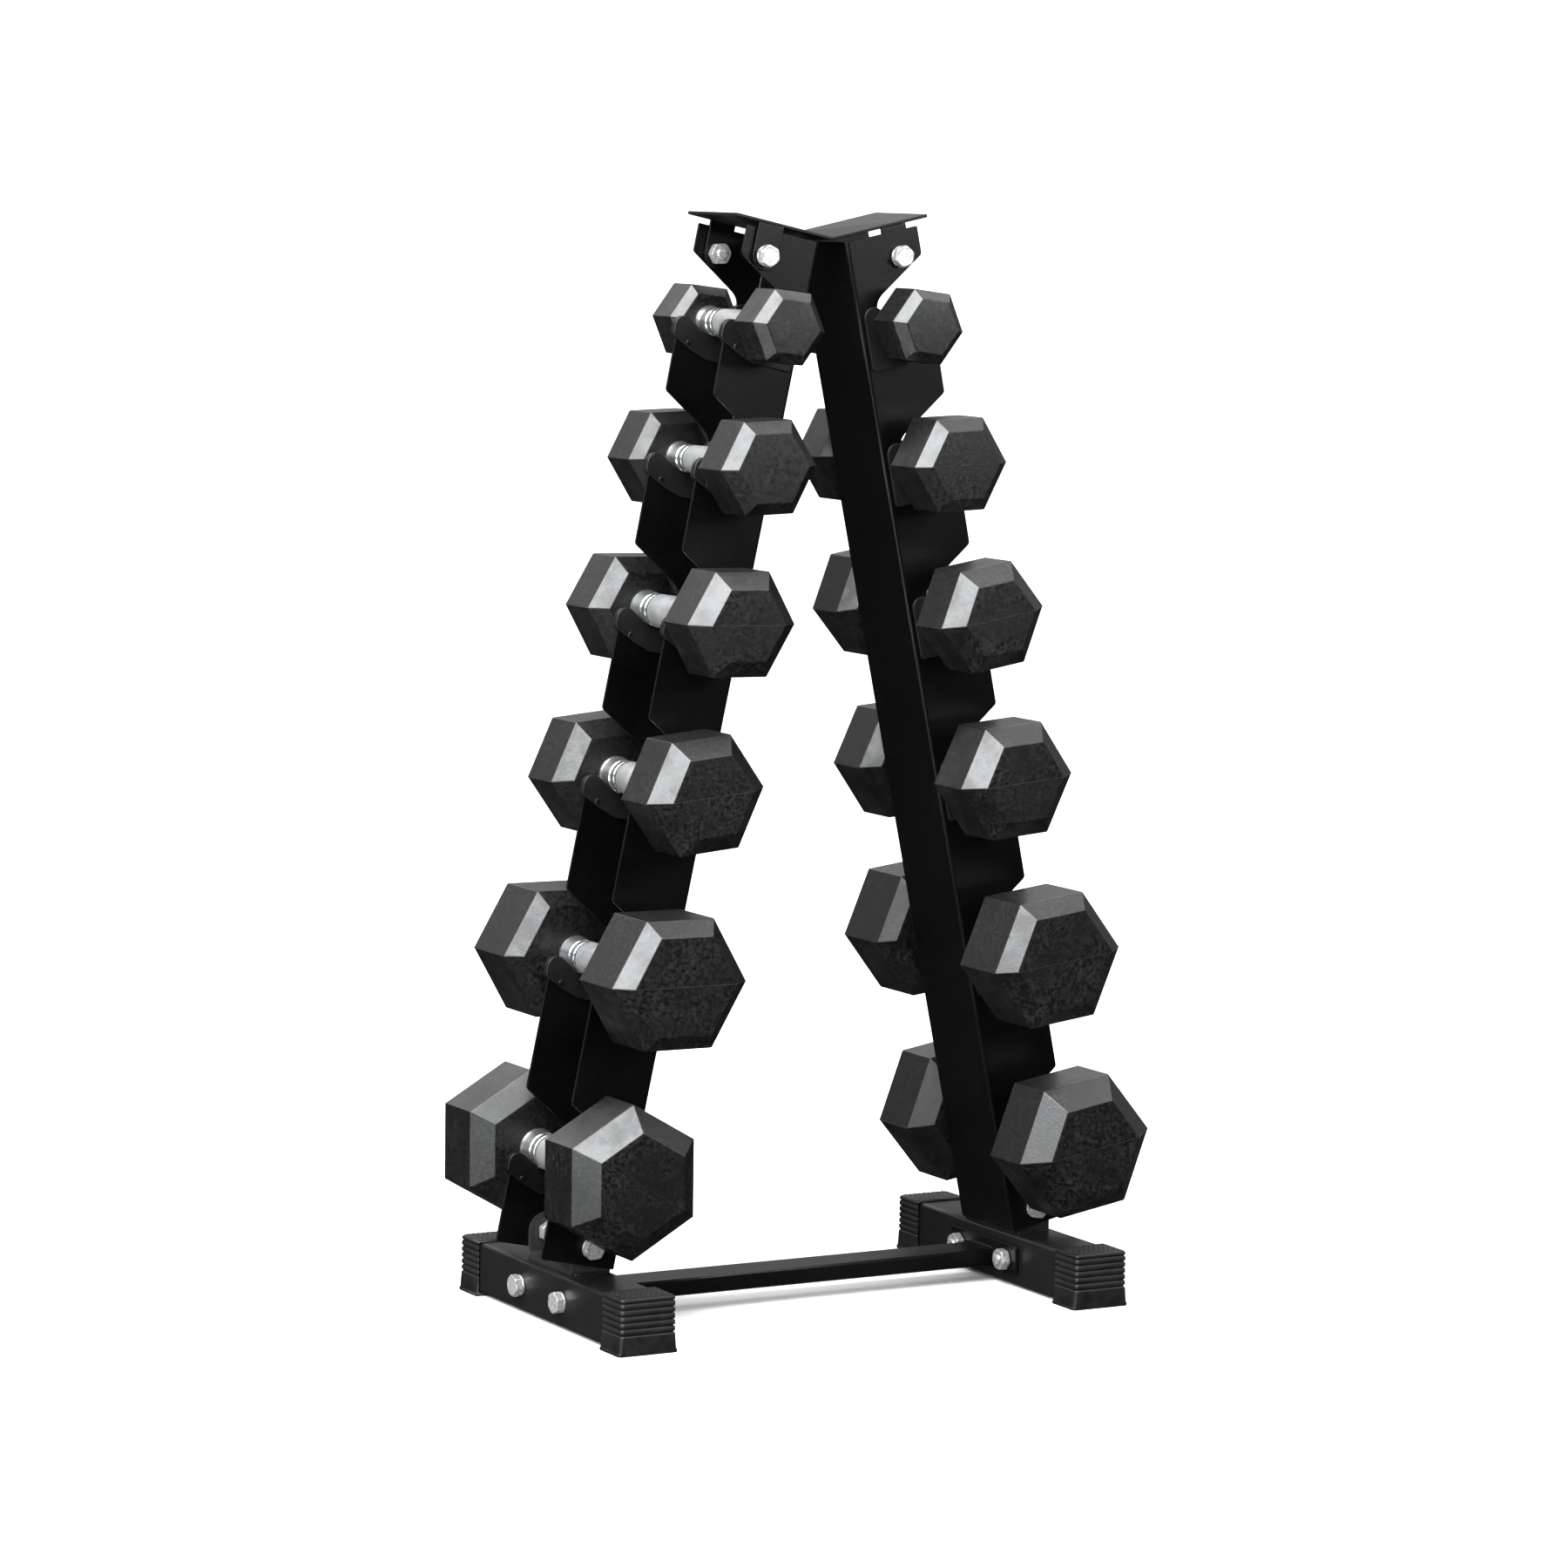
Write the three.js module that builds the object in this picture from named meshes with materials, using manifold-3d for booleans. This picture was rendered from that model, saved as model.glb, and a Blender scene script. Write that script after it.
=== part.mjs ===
// Six-tier A-frame dumbbell rack with six pairs of hexagonal dumbbells.
// Millimetres. +X points to the right leg, +Y to the rear, +Z up.
// The origin is on the floor, midway between the four feet.
import * as THREE from "three";
import { mergeVertices } from "three/addons/utils/BufferGeometryUtils.js";
import Module from "manifold-3d";

const wasm = await Module();
wasm.setup();

// ---------- driving dimensions ----------

const CLEARANCE = 0.3; // between two pieces that touch

const LEAN = THREE.MathUtils.degToRad(12); // of each leg, from the vertical
const LEG = {
  startX: 17.6, // outer face of the web, level with the first tooth
  startZ: 909, // height of that point
  width: 73, // web to flange edge
  depth: 90, // over both flanges
  sheet: 2.5,
  bend: 4, // outer bend radius
  above: 25, // flange above the first tooth
  below: 878, // foot of the leg, measured down the leg from the first tooth
};
const TOOTH_TIPS = [0, 123, 259, 405, 565, 742]; // down the leg
const SADDLES = [56, 177, 312, 460, 621, 794]; // handle centres, down the leg
const SADDLE_OUT = 40.6; // handle centre from the web's outer face

const NOTCH = {
  wall: 20.6, // inner end of the notch from the web
  slopeDrop: 25, // the tooth's underside falls this far towards the web
  slopeEnd: 30, // and ends this far from the web
  cradle: 20, // radius of the bottom of the cut
  lip: 5.4, // radius on top of the outer arm
};
const LINER = {
  cradle: 17, // radius that the handle lies in
  lip: 9.5, // radius on top of the outer arm
  innerArm: 9.5, // radius on top of the inner arm
  innerArmTop: 17, // above the cradle's centre
  innerEdge: 5.2, // from the web
  cheek: 2, // thickness over each face of the flange
  skirt: 38, // below the cradle's centre
};
const LIP_CENTRE = new THREE.Vector2(27, -14); // from the cradle's centre

const PLATE = {
  sheet: 3,
  rise: 32.5, // its top above the first tooth, along the leg
  reach: 87.5, // its end from the web's outer face
  fold: 10, // inner radius of the V fold
  tabWidth: 24.6,
  tabDrop: 10, // below the first tooth
};
const TOP_BOLT = { down: -2.5, out: 51.5 };

const TUBE = { width: 48, height: 45, wall: 2, corner: 3, bottom: 3, middleX: 225 };
const TUBE_HALF_LENGTH = 151;
const CAP = {
  start: 121, // |Y| of its open end
  end: 157, // |Y| of its outer face
  wall: 2.2,
  top: 2, // thickness over the tube
  skirt: 17, // height of the plain lower part
  flare: 2.2, // the skirt spreads this far beyond the ribs
  ribs: 6,
  ribDepth: 1,
};

const BRACKET = {
  base: 5,
  ear: 3.5,
  boltX: 223.5,
  boltZ: 71.5,
  earRadius: 17,
  innerX: 203.6,
  outerX: 240.5,
};

const BAR = { width: 40, height: 15.4, bottom: 15.7, wall: 1.8, corner: 2 };
const END_PLATE = { thickness: 4, halfWidth: 57, height: 26, bottom: 13.5 };
const BAR_BOLT = { y: 40, z: 25.5 };

const BOLT = {
  shank: 4.9,
  hole: 5.3,
  flats: 17,
  head: 6.4,
  nut: 8,
  washer: 10.4,
  washerThickness: 2,
  thread: 3, // beyond the nut
};

// corner: half the width over the corners; the rest are distances from the middle of the handle.
const DUMBBELLS = [
  { corner: 35.6, flankStart: 58.8, flankEnd: 92, face: 100.8, taper: 0.74, grip: 12.5 },
  { corner: 46.3, flankStart: 64.6, flankEnd: 105.5, face: 116, taper: 0.74, grip: 12.5 },
  { corner: 52, flankStart: 71.2, flankEnd: 114.3, face: 129.3, taper: 0.68, grip: 15 },
  { corner: 56.8, flankStart: 66.9, flankEnd: 112.9, face: 129.1, taper: 0.69, grip: 15 },
  { corner: 64.3, flankStart: 73.4, flankEnd: 133.4, face: 147.3, taper: 0.76, grip: 15 },
  { corner: 67.5, flankStart: 73.7, flankEnd: 124.2, face: 143.5, taper: 0.68, grip: 16 },
];
const INNER_CHAMFER = 0.7; // depth of the inner chamfer as a share of the outer one
const SOCKET_DEPTH = 14; // the handle's length inside each head

// How each dumbbell was put down: turned about its handle in degrees, and slid along it.
const RESTING = {
  left: { turn: [-6.9, 2, -1, 5.4, -0.3, 30], slide: [-1.5, -1.6, 0.7, 2.2, 2.1, 4.7] },
  right: { turn: [-7.5, 2.3, 9.8, 5.1, 7.5, 9.8], slide: [0.2, -3.4, -5.6, -2.1, -1.2, -4] },
};

// ---------- materials ----------

const paint = () => new THREE.MeshStandardMaterial({ color: 0x17181a, roughness: 0.5, metalness: 0.2 });
const zinc = () => new THREE.MeshStandardMaterial({ color: 0xc9ccd0, roughness: 0.3, metalness: 1 });
const chrome = () => new THREE.MeshStandardMaterial({ color: 0xd4d6d9, roughness: 0.18, metalness: 1 });
const rubber = () => new THREE.MeshStandardMaterial({ color: 0x1c1d1f, roughness: 0.75, metalness: 0 });
const capRubber = () => new THREE.MeshStandardMaterial({ color: 0x232426, roughness: 0.85, metalness: 0 });

// ---------- solids ----------

function solid(geometry) {
  let bare = geometry.index ? geometry.toNonIndexed() : geometry.clone();
  bare.deleteAttribute("normal");
  bare.deleteAttribute("uv");
  bare = mergeVertices(bare, 1e-4);
  return new wasm.Manifold(
    new wasm.Mesh({
      numProp: 3,
      vertProperties: new Float32Array(bare.attributes.position.array),
      triVerts: new Uint32Array(bare.index.array),
    }),
  );
}

function geometryOf(body) {
  const mesh = body.getMesh();
  return new THREE.BufferGeometry()
    .setAttribute("position", new THREE.BufferAttribute(mesh.vertProperties, 3))
    .setIndex(new THREE.BufferAttribute(mesh.triVerts, 1));
}

const xAxis = new THREE.Vector3(1, 0, 0);
const yAxis = new THREE.Vector3(0, 1, 0);
const zAxis = new THREE.Vector3(0, 0, 1);

const joined = (bodies) => bodies.reduce((sum, body) => sum.add(body));
const cut = (body, tools) => tools.reduce((rest, tool) => rest.subtract(tool), body);

// The outline lies in X and Z and is extruded from y0 to y1.
function acrossY(shape, y0, y1, curveSegments = 6) {
  const geometry = new THREE.ExtrudeGeometry(shape, { depth: y1 - y0, bevelEnabled: false, curveSegments });
  return solid(geometry.rotateX(Math.PI / 2).translate(0, y1, 0));
}

// The outline lies in X and Y and is extruded from z0 to z1.
function upwards(shape, z0, z1, curveSegments = 2) {
  const geometry = new THREE.ExtrudeGeometry(shape, { depth: z1 - z0, bevelEnabled: false, curveSegments });
  return solid(geometry.translate(0, 0, z0));
}

function box(x0, x1, y0, y1, z0, z1) {
  const geometry = new THREE.BoxGeometry(x1 - x0, y1 - y0, z1 - z0);
  return solid(geometry.translate((x0 + x1) / 2, (y0 + y1) / 2, (z0 + z1) / 2));
}

function cylinderY(radius, y0, y1, x, z, segments = 12) {
  const geometry = new THREE.CylinderGeometry(radius, radius, y1 - y0, segments);
  return solid(geometry.translate(x, (y0 + y1) / 2, z));
}

function cylinderX(radius, x0, x1, y, z, segments = 12) {
  const geometry = new THREE.CylinderGeometry(radius, radius, x1 - x0, segments);
  return solid(geometry.rotateZ(Math.PI / 2).translate((x0 + x1) / 2, y, z));
}

function roundedRectangle(width, height, radius, centreY = 0) {
  const x = width / 2 - radius;
  const y = height / 2 - radius;
  const shape = new THREE.Shape();
  shape.absarc(x, centreY + y, radius, 0, Math.PI / 2);
  shape.absarc(-x, centreY + y, radius, Math.PI / 2, Math.PI);
  shape.absarc(-x, centreY - y, radius, Math.PI, 1.5 * Math.PI);
  shape.absarc(x, centreY - y, radius, 1.5 * Math.PI, 2 * Math.PI);
  return shape;
}

function addMesh(parent, name, body, material) {
  const mesh = new THREE.Mesh(geometryOf(body), material);
  mesh.name = name;
  parent.add(mesh);
  return mesh;
}

// ---------- the leg's own frame: x out from the web, y across, z up the leg ----------

const upInLeg = new THREE.Vector2(Math.sin(LEAN), Math.cos(LEAN)); // true vertical

function legPoint(out, down) {
  return new THREE.Vector3(
    LEG.startX + down * Math.sin(LEAN) + out * Math.cos(LEAN),
    0,
    LEG.startZ - down * Math.cos(LEAN) + out * Math.sin(LEAN),
  );
}

function inLeg(x, z) {
  const right = x - LEG.startX;
  const below = LEG.startZ - z;
  return new THREE.Vector2(
    right * Math.cos(LEAN) - below * Math.sin(LEAN),
    -(right * Math.sin(LEAN) + below * Math.cos(LEAN)),
  );
}

// Centre of the cradle on a tier: the handle lies on its bottom.
function cradleCentre(tier) {
  const lift = LINER.cradle - DUMBBELLS[tier].grip - CLEARANCE;
  return new THREE.Vector2(SADDLE_OUT, -SADDLES[tier]).addScaledVector(upInLeg, lift);
}

// Adds the cradle's round bottom, the straight run up to the outer arm and the arm's round
// top, ending at the arm's outer edge. The outline comes down the inner side of the cradle.
function followCradle(outline, centre, cradle, lip) {
  const lipCentre = LIP_CENTRE.clone().add(centre);
  const tilt = LIP_CENTRE.angle() - 2 * Math.PI + Math.acos(-(cradle + lip) / LIP_CENTRE.length());
  outline.absarc(centre.x, centre.y, cradle, Math.PI, tilt + Math.PI, false);
  outline.absarc(lipCentre.x, lipCentre.y, lip, tilt, 0, true);
}

function channelBody() {
  const { width, depth, sheet, bend } = LEG;
  const half = depth / 2;
  const inner = bend - sheet;
  const outline = new THREE.Shape();
  outline.moveTo(width, -half + sheet);
  outline.absarc(bend, -half + bend, inner, 1.5 * Math.PI, Math.PI, true);
  outline.absarc(bend, half - bend, inner, Math.PI, Math.PI / 2, true);
  outline.lineTo(width, half - sheet);
  outline.lineTo(width, half);
  outline.absarc(bend, half - bend, bend, Math.PI / 2, Math.PI, false);
  outline.absarc(bend, -half + bend, bend, Math.PI, 1.5 * Math.PI, false);
  outline.lineTo(width, -half);
  return upwards(outline, -LEG.below, LEG.above);
}

function notchCutter(tier) {
  const centre = cradleCentre(tier);
  const tip = new THREE.Vector2(LEG.width, -TOOTH_TIPS[tier]);
  const slopeEnd = new THREE.Vector2(NOTCH.slopeEnd, tip.y - NOTCH.slopeDrop);
  const beyond = tip.clone().add(tip.clone().sub(slopeEnd).multiplyScalar(0.3));
  const outline = new THREE.Shape();
  outline.moveTo(beyond.x, beyond.y);
  outline.lineTo(slopeEnd.x, slopeEnd.y);
  outline.quadraticCurveTo(NOTCH.wall, slopeEnd.y - 5, NOTCH.wall, slopeEnd.y - 13);
  followCradle(outline, centre, NOTCH.cradle, NOTCH.lip);
  outline.lineTo(beyond.x, centre.y + LIP_CENTRE.y);
  return acrossY(outline, -LEG.depth, LEG.depth, 5);
}

function linerOutline(tier) {
  const centre = cradleCentre(tier);
  const left = LINER.innerEdge;
  const armY = centre.y + LINER.innerArmTop - LINER.innerArm;
  const right = centre.x + LIP_CENTRE.x + LINER.lip;
  const outline = new THREE.Shape();
  outline.moveTo(left, centre.y - LINER.skirt);
  outline.absarc(centre.x - LINER.cradle - LINER.innerArm, armY, LINER.innerArm, Math.PI, 0, true);
  followCradle(outline, centre, LINER.cradle, LINER.lip);
  outline.lineTo(right, centre.y - 22);
  outline.lineTo(centre.x + 33, centre.y - 25);
  outline.lineTo(centre.x + 14, centre.y - 33.5);
  outline.lineTo(centre.x, centre.y - LINER.skirt);
  return outline;
}

// The saddle liners snap over the flanges, and each leg carries them as one piece with it.
function liner(tier, end) {
  const face = LEG.depth / 2;
  const near = face - LEG.sheet - LINER.cheek - CLEARANCE;
  const far = face + LINER.cheek + CLEARANCE;
  return acrossY(linerOutline(tier), end > 0 ? near : -far, end > 0 ? far : -near, 4);
}

function legBody() {
  const foot = inLeg(BRACKET.boltX, BRACKET.boltZ);
  const holes = [
    cylinderY(BOLT.hole, -LEG.depth, LEG.depth, TOP_BOLT.out, -TOP_BOLT.down),
    cylinderY(BOLT.hole, -LEG.depth, LEG.depth, foot.x, foot.y),
  ];
  const tiers = SADDLES.map((_, tier) => tier);
  const sheetMetal = cut(channelBody(), [...tiers.map(notchCutter), ...holes]);
  const liners = tiers.flatMap((tier) => [liner(tier, -1), liner(tier, 1)]);
  return joined([sheetMetal, ...liners]);
}

// ---------- top plate ----------

const flangeFace = LEG.depth / 2;
const outerTab = [flangeFace + CLEARANCE, flangeFace + CLEARANCE + PLATE.sheet];
const innerTab = [
  flangeFace - LEG.sheet - CLEARANCE - PLATE.sheet,
  flangeFace - LEG.sheet - CLEARANCE,
];

function plateProfile() {
  const wingTop = (out) => legPoint(out, -PLATE.rise);
  const wingUnder = (out) => legPoint(out, PLATE.sheet - PLATE.rise);
  const outerRadius = PLATE.fold + PLATE.sheet;
  const topStart = wingTop(0);
  // The fold's centre is above X = 0, at the inner radius from the top face of both wings.
  const foldZ = topStart.z - topStart.x * Math.tan(LEAN) + PLATE.fold / Math.cos(LEAN);
  const down = 1.5 * Math.PI;
  const outline = new THREE.Shape();
  const points = [wingTop(PLATE.reach), wingUnder(PLATE.reach)];
  outline.moveTo(points[0].x, points[0].z);
  outline.absarc(0, foldZ, PLATE.fold, down + LEAN, down - LEAN, true);
  outline.lineTo(-points[0].x, points[0].z);
  outline.lineTo(-points[1].x, points[1].z);
  outline.absarc(0, foldZ, outerRadius, down - LEAN, down + LEAN, false);
  outline.lineTo(points[1].x, points[1].z);
  return outline;
}

function plateTab(side, end, faces) {
  const { out } = TOP_BOLT;
  const round = PLATE.tabWidth / 2;
  const outline = new THREE.Shape();
  outline.moveTo(out + round, PLATE.rise - PLATE.sheet / 2);
  outline.lineTo(out - round, PLATE.rise - PLATE.sheet / 2);
  outline.absarc(out, round - PLATE.tabDrop, round, Math.PI, 2 * Math.PI, false);
  const tab = acrossY(outline, end > 0 ? faces[0] : -faces[1], end > 0 ? faces[1] : -faces[0]);
  return turnToSide(tab, side);
}

// Carries a body from the leg's frame to its place on one side of the rack.
function turnToSide(body, side) {
  const matrix = new THREE.Matrix4()
    .makeRotationZ(side > 0 ? 0 : Math.PI)
    .multiply(new THREE.Matrix4().makeTranslation(LEG.startX, 0, LEG.startZ))
    .multiply(new THREE.Matrix4().makeRotationY(-LEAN));
  return solid(geometryOf(body).applyMatrix4(matrix));
}

function topPlateBody() {
  const tabX = legPoint(TOP_BOLT.out, -PLATE.rise).x;
  const slope = (outerTab[1] - innerTab[1]) / 2 / tabX;
  const edge = (outerTab[1] + innerTab[1]) / 2;
  const plan = new THREE.Shape(
    [[-1, -1], [1, -1], [1, 1], [-1, 1]].map(([x, y]) => new THREE.Vector2(120 * x, edge * y + 120 * slope * x)),
  );
  const sheet = acrossY(plateProfile(), -LEG.depth, LEG.depth).intersect(upwards(plan, 900, 1000));
  const hole = turnToSide(cylinderY(BOLT.hole, -LEG.depth, LEG.depth, TOP_BOLT.out, -TOP_BOLT.down), 1);
  const otherHole = turnToSide(cylinderY(BOLT.hole, -LEG.depth, LEG.depth, TOP_BOLT.out, -TOP_BOLT.down), -1);
  const tabs = [1, -1].flatMap((side) => [plateTab(side, -1, innerTab), plateTab(side, 1, outerTab)]);
  return cut(joined([sheet, ...tabs]), [hole, otherHole]);
}

// ---------- feet ----------

// Base tube with the leg bracket welded on top.
function baseBody() {
  const { width, height, wall, corner, bottom, middleX } = TUBE;
  const middleZ = bottom + height / 2;
  const place = (w, h, r) => {
    const shape = roundedRectangle(w, h, r, middleZ);
    const length = 2 * TUBE_HALF_LENGTH;
    const geometry = new THREE.ExtrudeGeometry(shape, { depth: length, bevelEnabled: false, curveSegments: 2 });
    return solid(geometry.rotateX(Math.PI / 2).translate(middleX, TUBE_HALF_LENGTH, 0));
  };
  const shell = place(width, height, corner);
  const bore = place(width - 2 * wall, height - 2 * wall, corner - wall + 0.4);
  const holes = [-1, 1].map((end) => cylinderX(BOLT.hole, 190, 260, end * BAR_BOLT.y, BAR_BOLT.z));
  return joined([cut(shell, [bore, ...holes]), ...bracketBodies()]);
}

function bracketBodies() {
  const { base, ear, boltX, boltZ, earRadius, innerX, outerX } = BRACKET;
  const tubeTop = TUBE.bottom + TUBE.height;
  const outer = flangeFace - LEG.sheet - CLEARANCE;
  const overlap = 0.2; // weld penetration
  const hole = cylinderY(BOLT.hole, -LEG.depth, LEG.depth, boltX, boltZ);
  const ears = [-1, 1].map((end) => {
    const outline = new THREE.Shape();
    outline.moveTo(boltX - earRadius, tubeTop + overlap);
    outline.lineTo(boltX + earRadius, tubeTop + overlap);
    outline.absarc(boltX, boltZ, earRadius, 0, Math.PI, false);
    const y0 = end > 0 ? outer - ear : -outer;
    return cut(acrossY(outline, y0, y0 + ear), [hole]);
  });
  return [box(innerX, outerX, -outer, outer, tubeTop - overlap, tubeTop + base), ...ears];
}

// Ribbed sleeve over the end of a base tube.
function capBody() {
  const { start, end, wall, top, skirt, flare, ribs, ribDepth } = CAP;
  const halfWidth = TUBE.width / 2 + wall;
  const height = TUBE.bottom + TUBE.height + top;
  const ribPitch = (height - skirt) / ribs;
  const slab = (inset, z0, z1) =>
    box(-halfWidth + inset, halfWidth - inset, start, end - inset, z0, z1);
  const foot = new THREE.Shape();
  foot.moveTo(-halfWidth - flare, 0);
  foot.lineTo(halfWidth + flare, 0);
  foot.lineTo(halfWidth, skirt);
  foot.lineTo(-halfWidth, skirt);
  const skirtBody = acrossY(foot, start, end);
  const core = slab(ribDepth, skirt - 1, height);
  const ribBodies = Array.from({ length: ribs }, (_, rib) => {
    const z = skirt + (rib + 0.3) * ribPitch;
    return slab(0, z, z + 0.7 * ribPitch);
  });
  const socket = roundedRectangle(
    TUBE.width + 2 * CLEARANCE,
    TUBE.height + 2 * CLEARANCE,
    TUBE.corner,
    TUBE.bottom + TUBE.height / 2,
  );
  const room = acrossY(socket, start - 5, TUBE_HALF_LENGTH + CLEARANCE, 3);
  return cut(joined([skirtBody, core, ...ribBodies]), [room]);
}

// ---------- cross bar ----------

function crossBarBody() {
  const inner = TUBE.middleX - TUBE.width / 2 - CLEARANCE;
  const middleZ = BAR.bottom + BAR.height / 2;
  const run = (width, height, corner, half) => {
    const shape = roundedRectangle(width, height, corner);
    const geometry = new THREE.ExtrudeGeometry(shape, { depth: 2 * half, bevelEnabled: false, curveSegments: 2 });
    const alongX = new THREE.Matrix4().makeBasis(yAxis, zAxis, xAxis);
    return solid(geometry.translate(0, 0, -half).applyMatrix4(alongX).translate(0, 0, middleZ));
  };
  const plates = [-1, 1].map((side) => {
    const x = side > 0 ? inner - END_PLATE.thickness : -inner;
    const { halfWidth, bottom, height, thickness } = END_PLATE;
    const plate = box(x, x + thickness, -halfWidth, halfWidth, bottom, bottom + height);
    const holes = [-1, 1].map((end) => cylinderX(BOLT.hole, x - 5, x + 10, end * BAR_BOLT.y, BAR_BOLT.z));
    return cut(plate, holes);
  });
  const outside = run(BAR.width, BAR.height, BAR.corner, inner - 1);
  const bore = run(BAR.width - 2 * BAR.wall, BAR.height - 2 * BAR.wall, 0.8, inner + 10);
  return cut(joined([outside, ...plates]), [bore]);
}

// ---------- fasteners ----------

// A bolt with washers and nut along Y: the head bears on the face at y = 0 and the nut on
// the face at y = -grip.
function boltBody(grip) {
  const { shank, flats, head, nut, washer, washerThickness, thread } = BOLT;
  const hexRadius = flats / Math.sqrt(3);
  const sink = 0.1;
  const headBase = CLEARANCE + washerThickness;
  const nutBase = -grip - CLEARANCE;
  return joined([
    cylinderY(shank, nutBase - nut - thread, headBase + head - 1, 0, 0, 8),
    cylinderY(washer, CLEARANCE, headBase, 0, 0, 12),
    cylinderY(hexRadius, headBase - sink, headBase + head, 0, 0, 6),
    cylinderY(hexRadius, nutBase - nut, nutBase, 0, 0, 6),
  ]);
}

// ---------- dumbbells ----------

function innerFace(size) {
  const chamfer = INNER_CHAMFER * (size.face - size.flankEnd);
  const cone = 0.045 * size.corner;
  return { chamfer: size.flankStart - chamfer, cone: size.flankStart - chamfer - cone };
}

function headBody(size) {
  const inner = innerFace(size);
  const neck = size.grip + 5;
  const profile = [
    [0, inner.cone],
    [neck, inner.cone],
    [size.corner * size.taper, inner.chamfer],
    [size.corner, size.flankStart],
    [size.corner, size.flankEnd],
    [size.corner * size.taper, size.face],
    [0, size.face],
  ].map(([radius, y]) => new THREE.Vector2(radius, y));
  const hexagon = new THREE.LatheGeometry(profile, 6, Math.PI / 6, 2 * Math.PI);
  const end = inner.cone + SOCKET_DEPTH + CLEARANCE;
  const socket = cylinderY(size.grip - 2 + 2 * CLEARANCE, inner.cone - 5, end, 0, 0, 16);
  return solid(hexagon).subtract(socket);
}

function handleBody(size, slide) {
  const face = innerFace(size).cone - CLEARANCE;
  const linerFace = flangeFace + LINER.cheek + 2 * CLEARANCE + 0.3;
  const collar = Math.max(linerFace + Math.abs(slide), face - 5);
  const half = [
    [0, face + SOCKET_DEPTH],
    [size.grip - 2, face + SOCKET_DEPTH],
    [size.grip - 2, face],
    [size.grip + 2.5, face],
    [size.grip + 1.5, collar],
    [size.grip, collar],
  ];
  const mirrored = half.map(([radius, y]) => [radius, -y]);
  const profile = [...mirrored, ...half.reverse()].map(([radius, y]) => new THREE.Vector2(radius, y));
  return solid(new THREE.LatheGeometry(profile, 16));
}

function addDumbbell(parent, sideName, side, tier) {
  const size = DUMBBELLS[tier];
  const { turn, slide } = RESTING[sideName];
  const place = legPoint(SADDLE_OUT, SADDLES[tier]);
  const group = new THREE.Group();
  group.position.set(side * place.x, slide[tier], place.z);
  group.rotation.y = -THREE.MathUtils.degToRad(turn[tier]);
  const name = sideName + "_" + (tier + 1) + "_";
  addMesh(group, name + "handle", handleBody(size, slide[tier]), chrome());
  addMesh(group, name + "rear_head", headBody(size), rubber());
  const front = addMesh(group, name + "front_head", headBody(size), rubber());
  front.rotation.z = Math.PI;
  parent.add(group);
}

// ---------- assembly ----------

// Everything on one side; the left side is the right side turned half a turn about Z.
function addSide(parent, sideName, side) {
  const half = new THREE.Group();
  half.rotation.z = side > 0 ? 0 : Math.PI;
  const endName = (end) => (end * side > 0 ? "rear" : "front");

  const legFrame = new THREE.Group();
  legFrame.position.set(LEG.startX, 0, LEG.startZ);
  legFrame.rotation.y = -LEAN;
  addMesh(legFrame, sideName + "_leg", legBody(), paint());
  addMesh(half, sideName + "_base", baseBody(), paint());

  [-1, 1].forEach((end) => {
    const flip = end > 0 ? 0 : Math.PI;

    const topOuter = end > 0 ? outerTab[1] : flangeFace;
    const topBolt = addMesh(
      legFrame,
      sideName + "_top_bolt_" + endName(end),
      boltBody(topOuter - (end > 0 ? flangeFace - LEG.sheet : innerTab[0])),
      zinc(),
    );
    topBolt.position.set(TOP_BOLT.out, end * topOuter, -TOP_BOLT.down);
    topBolt.rotation.z = flip;

    const footBolt = addMesh(
      half,
      sideName + "_foot_bolt_" + endName(end),
      boltBody(LEG.sheet + CLEARANCE + BRACKET.ear),
      zinc(),
    );
    footBolt.position.set(BRACKET.boltX, end * flangeFace, BRACKET.boltZ);
    footBolt.rotation.z = flip;

    const barBolt = addMesh(
      half,
      sideName + "_bar_bolt_" + endName(end),
      boltBody(TUBE.width + CLEARANCE + END_PLATE.thickness),
      zinc(),
    );
    barBolt.position.set(TUBE.middleX + TUBE.width / 2, end * BAR_BOLT.y, BAR_BOLT.z);
    barBolt.rotation.z = -Math.PI / 2;

    const cap = addMesh(half, sideName + "_cap_" + endName(end), capBody(), capRubber());
    cap.position.x = TUBE.middleX;
    cap.rotation.z = flip;
  });
  half.add(legFrame);
  parent.add(half);
  SADDLES.forEach((_, tier) => addDumbbell(parent, sideName, side, tier));
}

const rack = new THREE.Group();
addMesh(rack, "top_plate", topPlateBody(), paint());
addMesh(rack, "cross_bar", crossBarBody(), paint());
addSide(rack, "left", -1);
addSide(rack, "right", 1);

export default rack;
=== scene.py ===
"""Looks of the six-tier A-frame dumbbell rack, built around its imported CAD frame. Metres, +Z up."""

import math

import bmesh
import bpy
from mathutils import Matrix, Vector


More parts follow.
